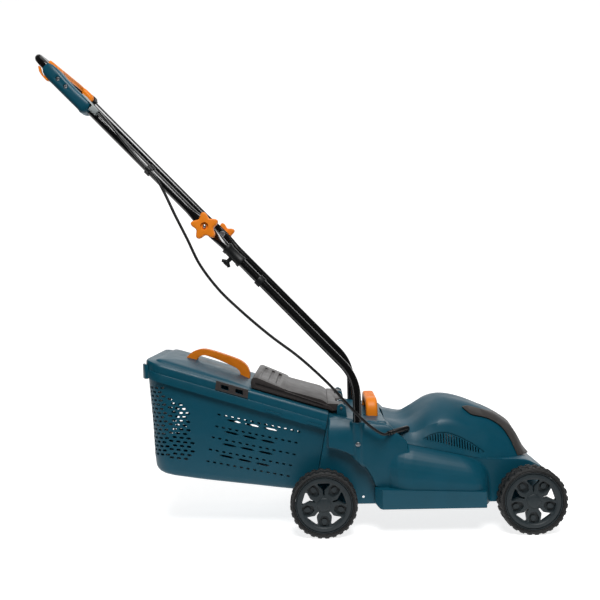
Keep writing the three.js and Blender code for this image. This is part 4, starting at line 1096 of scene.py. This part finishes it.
def make_lid():
    """Lid with its side tabs and the two windows of the plate."""
    lid = cut(lid_skin(0), lid_skin(3), front_block(FACE_CLEAR))
    for x in (-126, -34):
        tab = prism("tab", rounded(below_lid([(x, -38), (x + 34, -38), (x + 34, -33), (x, -33)]), 1.5, 2),
                    -148.4, 148.4)
        inner = prism("inner", [(-200, 100), (60, 100), (60, 400), (-200, 400)], -146.5, 146.5)
        lid = fuse(lid, cut(tab, inner))
    lid = cut(lid, *plate_windows())
    round_edges(lid, 0.5, 1, 45)
    finish_piece(lid, "grass_box_cover", TEAL, "collector", "teal_plastic", "grass_box_lid", smooth=30)


def make_box_fittings():
    grip = [(-329, 385), (-313, 402), (-286, 411), (-253, 402), (-217, 389), (-193, 379), (-177, 365),
            (-171.5, 347), (-173, 322), (-194, 322), (-195, 352), (-204, 361), (-253, 385), (-282, 394.5),
            (-294, 391.5), (-309, 370)]
    bow = prism("bow", rounded(grip, [3, 9, 14, 20, 14, 9, 9, 8, 1, 1, 8, 8, 20, 12, 6, 1], 4), -10, 10)
    round_edges(bow, 3.0, 4, 40)
    finish_piece(bow, "grass_box_bow", ORANGE, "collector", "orange_plastic", "grass_box_handle", smooth=45)
    line = rounded(below_lid([(-239, -20), (-166, -19), (-164, 0.5), (-236, 1)]), 1.5, 2)
    plate = cut(prism("plate", line, -147.4, -144.2), *plate_windows())
    round_edges(plate, 0.5, 2, 40)
    finish_piece(plate, "grass_box_badge_plate", FLAP_GREY, "collector", "charcoal_plastic",
                 "grass_box_plate", smooth=40)


make_box()
make_lid()
make_box_fittings()


# ---- rear flap
def make_flap():
    side = [(-160, lid_plane(-160) + 3.4), (-160.5, 343), (-156.5, 351.5), (-149, 352.5), (-87, 325),
            (-80, 320),
            (2, 296), (15, 286), (30, lid_plane(30) + 4)]
    flap = prism("flap", rounded(side, [1, 6, 5, 5, 8, 8, 8, 8, 2], 4), -122, 122)
    under = prism("under", below_lid([(-156, -5), (-156, 13), (-88, 17), (10, 10), (16, -5)]), -118, 118)
    flap = cut(flap, under)
    groove = rounded(below_lid([(-150, 9), (4, 7), (2, 12), (-84, 16), (-150, 17)]), 3, 3)
    top_step = rounded([(-84, 319), (-84, 340), (20, 310), (20, 281.5)], 1, 2)
    for line, near in ((groove, 120.2), (top_step, 112)):
        flap = cut(flap, *[prism("groove", line, *on_side(end, near, 126)) for end in (-1, 1)])
    for k in range(3):
        x, drop = -140 + 17 * k, 7.5 * k
        rib = rounded([(x, 342 - drop), (x + 8, 338.5 - drop), (x + 8, 352 - drop), (x, 355.5 - drop)], 1, 2)
        rise = 26.5 - 3.4 * k
        floor = [(x - 4, 300), (x + 12, 300), (x + 12, lid_plane(x + 12) + rise),
                 (x - 4, lid_plane(x - 4) + rise)]
        flap = cut(flap, cut(prism("press", rib, -90, 90), prism("floor", floor, -95, 95)))
    flap = fuse(flap, prism("web", rounded([(14, 288), (16, 273), (40, 272), (45, 286)], 2, 2), -117, 117),
                *[cross_rod("barrel", *FLAP_HINGE, low, high, 8, 32) for low,
                  high in ((-118, -76), (-40, 40), (76, 118))])
    flap = cut(flap, *[prism("gap", [(33, 262), (60, 262), (60, 300), (33, 300)], low, high)
                       for low, high in ((-76, -40), (40, 76))],
               cross_rod("rod_way", *FLAP_HINGE, -140, 140, 3.4))
    round_edges(flap, 1.2, 3, 40)
    finish_piece(flap, "rear_flap_moulding", FLAP_GREY, "flap", "charcoal_plastic", "rear_flap", smooth=40)


make_flap()


# ---- switch box, bail, clips
BAIL_PIVOT = (486, 8)
BAIL_BAR = (520, 10)
BUTTON = (470, 484)


def handle_ring(along, low, high, outer, inner, radius):
    """A rounded section across the handle: off its plane by y."""
    line = rounded([(low, outer), (high, outer), (high, inner), (low, inner)], radius, 4)
    return [on_handle(along, y, off) for off, y in line]


def handle_block(name, along, off, y, radius=0.0):
    """A block lying along the handle, rounded in the handle's side view."""
    (a0, a1), (n0, n1) = along, off
    return handle_slab(name, rounded([(a0, n0), (a1, n0), (a1, n1), (a0, n1)], radius, 4), *y)


def handle_pin(name, along, off, low, high, radius):
    return rod(name, on_handle(along, low, off), on_handle(along, high, off), radius, sides=24)


def tube_span(name, side, start, stop, radius, sides=40):
    """A round bar on the axis of one of the handle's two long tubes."""
    return rod(name, on_handle(start, side * TUBE_Y), on_handle(stop, side * TUBE_Y), radius, sides=sides)


def handle_slab(name, outline, low, high):
    """A flat shape drawn in the handle's side view and pulled across it."""
    return skin(name, [[on_handle(along, y, off) for along, off in outline] for y in (low, high)])


switch_sections = [(363, -8, 7, -169, -133, 6), (364.5, -12, 10, -172, -131, 8),
                   (368, -15.5, 12.5, -174.5, -129.5, 9), (374, -18.5, 13.6, -175.6, -128.4, 10),
                   (381, -17, 13.6, -176, -128.2, 10), (405, -17.2, 12, -176, -128, 10),
                   (430, -17.4, 12, -176, -128, 10), (456, -17.4, 13.4, -176, -128, 10),
                   (468, -17.6, 14.4, -176, -128.2, 10), (480, -17.4, 14.4, -175.6, -128.6, 10),
                   (489, -16.4, 13.4, -174.4, -129.6, 9), (496.5, -14, 11, -172, -131.4, 8),
                   (499, -11.6, 8.6, -169.6, -134, 6)]


def switch_skin(inset):
    rings = []
    for i, (along, low, high, outer, inner, radius) in enumerate(switch_sections):
        shift = inset if i < 3 else -inset if i > len(switch_sections) - 4 else 0
        rings.append(handle_ring(along + shift, low + inset, high - inset, outer + inset, inner - inset,
                                 max(radius - inset, 2)))
    return skin("switch", rings)


def make_switch_box():
    """Two shell halves round the tube, their screws and the safety button."""
    shell = cut(switch_skin(0), switch_skin(2.6), tube_span("tube_way", -1, 330, 520, TUBE_RADIUS + 0.4))
    button_way = handle_block("button_way", (BUTTON[0] - 0.8, BUTTON[1] + 0.8), (-34, -10), (-171.8, -161.2))
    pad_way = handle_slab("pad_way", [(473, -26), (510, -26), (510, -4), (500, -7.6), (489, -12.4),
                                      (473, -13.4)],
                          -172.4, -160.2)
    inlet_way = handle_block("inlet_way", (340, 372), (0, 16), (-172.4, -157))
    screws = [handle_pin("screw_way", along, 0, -190, high, radius) for along in (432, 456)
              for high, radius in ((-160, 2.6), (-174.6, 5.4))]
    outer_side = handle_block("outer_side", (300, 560), (-60, 60), (-230, -151.2))
    inner_side = handle_block("inner_side", (300, 560), (-60, 60), (-150.8, -80))
    outer = overlap(duplicate(shell, "outer", Matrix.Identity(4)), outer_side)
    inner = overlap(shell, inner_side)
    outer = cut(outer, button_way, pad_way, inlet_way, *screws)
    inner = cut(inner, handle_pin("pin_way", *BAIL_PIVOT, -140, -120, 3.4))
    for piece, name in ((outer, "outer"), (inner, "inner")):
        round_edges(piece, 0.4, 2, 50)
        finish_piece(piece, f"switch_shell_{name}", TEAL, "handle", "teal_plastic", f"switch_box_{name}",
                     smooth=45)
    for along, name in ((432, "bottom"), (456, "top")):
        centre = on_handle(along, 0)
        head = turned("head", [(0, -166), (2, -166), (2, -174.8), (4.2, -174.8), (4.2, -175.8), (3.2, -177.2),
                               (0, -177.6)], Vector((centre.x, 0, centre.z)), sides=28)
        slots = [handle_block("slot", (along - a, along + a), (-b, b), (-180, -176.6))
                 for a, b in ((2.4, 0.5), (0.5, 2.4))]
        head = cut(head, *slots)
        finish_piece(head, f"switch_screw_head_{name}", PLATED, "handle", "bright_steel",
                     f"switch_screw_{name}")
    stem = handle_block("stem", BUTTON, (-19.5, -12.5), (-171, -162), 2)
    pad = handle_slab("pad", [(474, -18.4), (489, -17.4), (497, -15), (500, -12.6), (507, -9), (507.5, -11.5),
                              (499, -17.6), (489, -20.2), (474, -21)], -171.6, -160.4)
    trigger = fuse(stem, pad)
    round_edges(trigger, 1.0, 3, 40)
    finish_piece(trigger, "safety_trigger", ORANGE, "button", "orange_plastic", "safety_button", smooth=40)


def make_inlet():
    """Pale grey inlet whose nose wraps the box's lower corner, where the cable leaves."""
    sections = [(344, 3, 12, -172, -160, 3), (346, 1, 13.5, -174, -159, 4), (366, -1, 15.4, -175, -158, 4),
                (386, 6, 16.4, -173, -158, 3), (396, 11, 15.6, -170, -160, 2)]
    body = skin("inlet", [handle_ring(*section) for section in sections])
    way = rod("cable_room", on_handle(320, -166, 13.3), on_handle(380, -166, 13.3), CABLE_RADIUS + 0.4,
              sides=24)
    socket = handle_block("socket", (330, 352), (3, 9), (-171, -163), 2)
    room = handle_block("room", (362.6, 420), (-30, 12.4), (-200, -120))
    body = cut(body, way, socket, room)
    round_edges(body, 0.4, 2, 50)
    finish_piece(body, "inlet_shell", GREY_PLASTIC, "handle", "grey_plastic", "mains_inlet", smooth=45)


def make_bail():
    """Sprung bar across the handle with flat lever arms lying beside the tubes."""
    corners = [on_handle(along, y, off) for (along, off), y in ((BAIL_PIVOT, -118), (BAIL_BAR, -118),
                                                                (BAIL_BAR, 118), (BAIL_PIVOT, 118))]
    path = bent(corners, 16 * MM, 10)
    loop = sweep("loop", path, rounded([(-5, -6.3), (5, -6.3), (5, 6.3), (-5, 6.3)], 4.8, 5), handle_normal)
    arms = []
    for side in (-1, 1):
        line = rounded([(478, 3), (477.5, 12), (484, 16.5), (512, 16), (517, 8), (505, 1), (486, -1)],
                       [4, 5, 7, 6, 4, 8, 6], 4)
        arms.append(handle_slab("arm", line, *on_side(side, 112.6, 124.4)))
        arms.append(handle_pin("pin", *BAIL_PIVOT, *on_side(side, 112, 134), 3))
    bail = fuse(loop, *arms)
    round_edges(bail, 1.4, 3, 42)
    finish_piece(bail, "bail_bar", ORANGE, "bail", "orange_plastic", "bail_lever", smooth=42)


def make_handle_fittings():
    along, off = BAIL_PIVOT
    sleeve = tube_span("sleeve", 1, along - 9, along + 9, TUBE_RADIUS + 3.4, 48)
    ear = handle_block("ear", (along - 9, along + 9), (-2, 17), (127, 147), 6)
    bracket = cut(fuse(sleeve, ear), tube_span("tube_way", 1, along - 30, along + 30, TUBE_RADIUS + 0.3, 48),
                  handle_pin("pin_way", along, off, 120, 137, 3.4),
                  handle_block("split", (along - 12, along + 12), (-30, -6), (149, 151.5)))
    round_edges(bracket, 0.8, 2, 40)
    finish_piece(bracket, "bail_bearing", BLACK_PLASTIC, "handle", "black_plastic", "bail_bracket", smooth=40)

    ring = tube_span("ring", -1, 172, 184, TUBE_RADIUS + 3)
    eye = rod("eye", on_handle(173, -169.5), on_handle(183, -169.5), CABLE_RADIUS + 3, sides=32)
    clip = cut(fuse(ring, eye), tube_span("tube_way", -1, 150, 210, TUBE_RADIUS + 0.3),
               rod("cable_way", on_handle(150, -169.8), on_handle(210, -169.8), CABLE_RADIUS + 0.5, sides=24))
    finish_piece(clip, "upper_clip_ring", BLACK_PLASTIC, "handle", "black_plastic", "cable_clip_upper",
                 smooth=40)


def on_lower(down, off=0.0):
    """A point on the right lower tube, measured down from the fold axis; off is forward and up."""
    down_way = (at(SOCKET_X, 0, 350) - PIVOT).normalized()
    across = Vector((-down_way.z, 0, down_way.x))
    return PIVOT + down_way * (down * MM) + across * (off * MM) + SIDEWAYS * (-TUBE_Y * MM)


def make_lower_fittings():
    def sleeve(name, start, stop, radius):
        return rod(name, on_lower(start), on_lower(stop), radius, sides=40)

    clip = cut(sleeve("clip", 163, 177, TUBE_RADIUS + 3), sleeve("way", 150, 190, TUBE_RADIUS + 0.3))
    round_edges(clip, 0.8, 2, 40)
    finish_piece(clip, "lower_clip_ring", BLACK_PLASTIC, "chassis", "black_plastic", "cable_clip_lower",
                 smooth=40)

    hook = fuse(sleeve("clamp", 66, 110, TUBE_RADIUS + 2.6), sleeve("rim", 64, 71, TUBE_RADIUS + 4),
                sleeve("rim", 105, 112, TUBE_RADIUS + 4),
                rod("stem", on_lower(88), on_lower(88, -25), 5.5, 4.2, sides=28),
                rod("arm", on_lower(88, -21), on_lower(99, -28), 3.8, sides=20),
                rod("arm", on_lower(88, -21), on_lower(77, -28), 3.8, sides=20),
                rod("head", on_lower(88, -22), on_lower(88, -30), 7.5, 5.5, sides=28))
    hook = cut(hook, sleeve("way", 40, 140, TUBE_RADIUS + 0.3))
    round_edges(hook, 0.8, 2, 45)
    finish_piece(hook, "cord_hook_clamp", BLACK_PLASTIC, "chassis", "black_plastic", "cord_hook", smooth=45)

    ring = [(-1, 3.6), (0, 5.2), (3, 5.3), (4, 4.4), (7, 4.5), (8, 5.5), (11, 5.6), (12, 4.7), (15, 4.9),
            (16, 5.9), (62, 6.6), (64.5, 6.2), (65.2, 4.8)]
    ahead = (GLAND_INNER - GLAND_OUTER).normalized()
    boot = sweep("boot", [GLAND_OUTER + ahead * (s * MM) for s, _ in ring],
                 lambda i: circle(ring[i][1], 28), Vector((0, 0, 1)))
    finish_piece(boot, "cable_boot", CABLE_SHEATH, "chassis", "cable_rubber", "cable_gland", smooth=50)


make_switch_box()
make_inlet()
make_bail()
make_handle_fittings()
make_lower_fittings()


# ---- screws, rods and latches
def make_small_parts():
    for name, side in SIDES:
        profile = [(0, 143), (2.2, 143), (2.2, 163.5), (5.4, 163.5), (5.4, 165), (4, 166.6), (0, 167)]
        screw = turned("screw", [(r, side * y) for r, y in profile], at(SOCKET_X, 0, SCREW_Z), sides=32)
        slots = [prism("slot", [(SOCKET_X - a, SCREW_Z - b), (SOCKET_X + a, SCREW_Z - b),
                                (SOCKET_X + a, SCREW_Z + b), (SOCKET_X - a, SCREW_Z + b)],
                       *on_side(side, 165.9, 169)) for a, b in ((2.8, 0.6), (0.6, 2.8))]
        screw = cut(screw, *slots)
        finish_piece(screw, f"tube_screw_head_{name}", PLATED, "chassis", "bright_steel",
                     f"tube_screw_{name}")
        hook = cut(prism("hook", plan_corner(2.5), 355, 388, "Z"),
                   prism("lid_way", plan_corner(8.4), 300, 420, "Z"))
        hook = overlap(hook, prism("reach", [(-420, 300), (-378, 300), (-378, 420), (-420, 420)],
                                   *on_side(side, 107, 131)))
        round_edges(hook, 1.2, 3, 40)
        finish_piece(hook, f"box_latch_hook_{name}", TEAL, "collector", "teal_plastic", f"box_latch_{name}",
                     smooth=40)
    hinge_x, hinge_z = FLAP_HINGE
    hinge_rod = turned("rod", [(0, -132), (2.4, -132), (3, -131.4), (3, 131.4), (2.4, 132), (0, 132)],
                       at(hinge_x, 0, hinge_z), sides=24)
    finish_piece(hinge_rod, "flap_hinge_rod", PLATED, "chassis", "bright_steel", "flap_rod", smooth=40)
    turns, steps = 8, 18
    ring = circle(4.9, steps)
    coil = [at(hinge_x + ring[k % steps][0], -60 + 17 * k / (turns * steps), hinge_z + ring[k % steps][1])
            for k in range(turns * steps + 1)]
    coil += [coil[-1] + Vector((-0.012, 0.004, 0.003)), coil[-1] + Vector((-0.028, 0.004, 0.008))]
    coil = [coil[0] + Vector((0.012, -0.003, -0.012)), *coil]
    spring = sweep("spring", coil, circle(0.95, 8), SIDEWAYS)
    finish_piece(spring, "flap_coil_spring", PLATED, "chassis", "bright_steel", "flap_spring", smooth=60)
    for x, name in ((0, "rear"), (WHEELBASE, "front")):
        axle = turned("axle", [(0, -184), (4.4, -184), (6, -182.5), (6, 182.5), (4.4, 184), (0, 184)],
                      at(x, 0, WHEEL_RADIUS), sides=32)
        finish_piece(axle, f"{name}_axle_rod", PLATED, "chassis", "bright_steel", f"{name}_axle", smooth=40)


def plan_corner(inset):
    """Plan outline of the lid, for the hooks that wrap its rear corners."""
    return plan_points(147 - inset + 4, -408 + inset - 4, 60, 44 - inset + 4)


def coat_plain_parts():
    """Hidden working parts keep their shape and take their finish."""
    for node, material in (("motor_can", CASTING), ("motor_shaft", PLATED), ("cooling_fan", BLACK_PLASTIC),
                           ("blade_carrier", BLACK_PLASTIC), ("blade", BLADE_STEEL), ("blade_bolt", PLATED)):
        part = bpy.data.objects[node]
        part.data.materials.clear()
        part.data.materials.append(material)


make_small_parts()
coat_plain_parts()


# ---- studio
def light_panel(name, location, aim, size, power):
    bpy.ops.object.light_add(type="AREA", location=location)
    panel = bpy.context.object
    panel.name = name
    panel.rotation_euler = (Vector(aim) - Vector(location)).to_track_quat("-Z", "Y").to_euler()
    panel.data.size = size
    panel.data.energy = power


def make_studio():
    """White paper sweep, dim air and two soft lamps."""
    bpy.ops.mesh.primitive_grid_add(x_subdivisions=1, y_subdivisions=24, size=1)
    sweep_sheet = bpy.context.object
    sweep_sheet.name = "studio_sweep"
    floor_front, floor_depth, bend, rise = -0.6, 3.2, 0.9, 4.5
    count = len(sweep_sheet.data.vertices) // 2
    for i, vertex in enumerate(sweep_sheet.data.vertices):
        row = i // 2
        share = row / (count - 1)
        turn = math.pi / 2 * min(1, max(0, (share - 0.3) / 0.4))
        y = floor_front + (floor_depth - floor_front) * min(1, share / 0.3) + bend * math.sin(turn)
        z = bend * (1 - math.cos(turn)) + rise * max(0, (share - 0.7) / 0.3)
        vertex.co = Vector((-4.5 if i % 2 == 0 else 4.5, y, z))
    paper, tree, shader, _ = new_material("white_background_paper")
    feed(tree, shader, {"Base Color": (0.55, 0.55, 0.55, 1), "Roughness": 0.9,
                        "Emission Color": (1, 1, 1, 1), "Emission Strength": 0.8})
    sweep_sheet.data.materials.append(paper)
    pick(sweep_sheet)
    bpy.ops.object.shade_smooth()

    world = bpy.data.worlds.new("studio_air")
    world.use_nodes = True
    air = world.node_tree
    feed(air, air.nodes["Background"], {"Color": (1, 1, 1, 1), "Strength": 0.05})
    bpy.context.scene.world = world
    bpy.context.scene.view_settings.view_transform = "Standard"
    light_panel("top_softbox", (0.2, 0.3, 3.0), (0.1, 0, 0.2), 2.6, 14)
    light_panel("front_key", (0.25, -1.95, 3.0), (0, 0, 0.3), 1.5, 108)


make_studio()
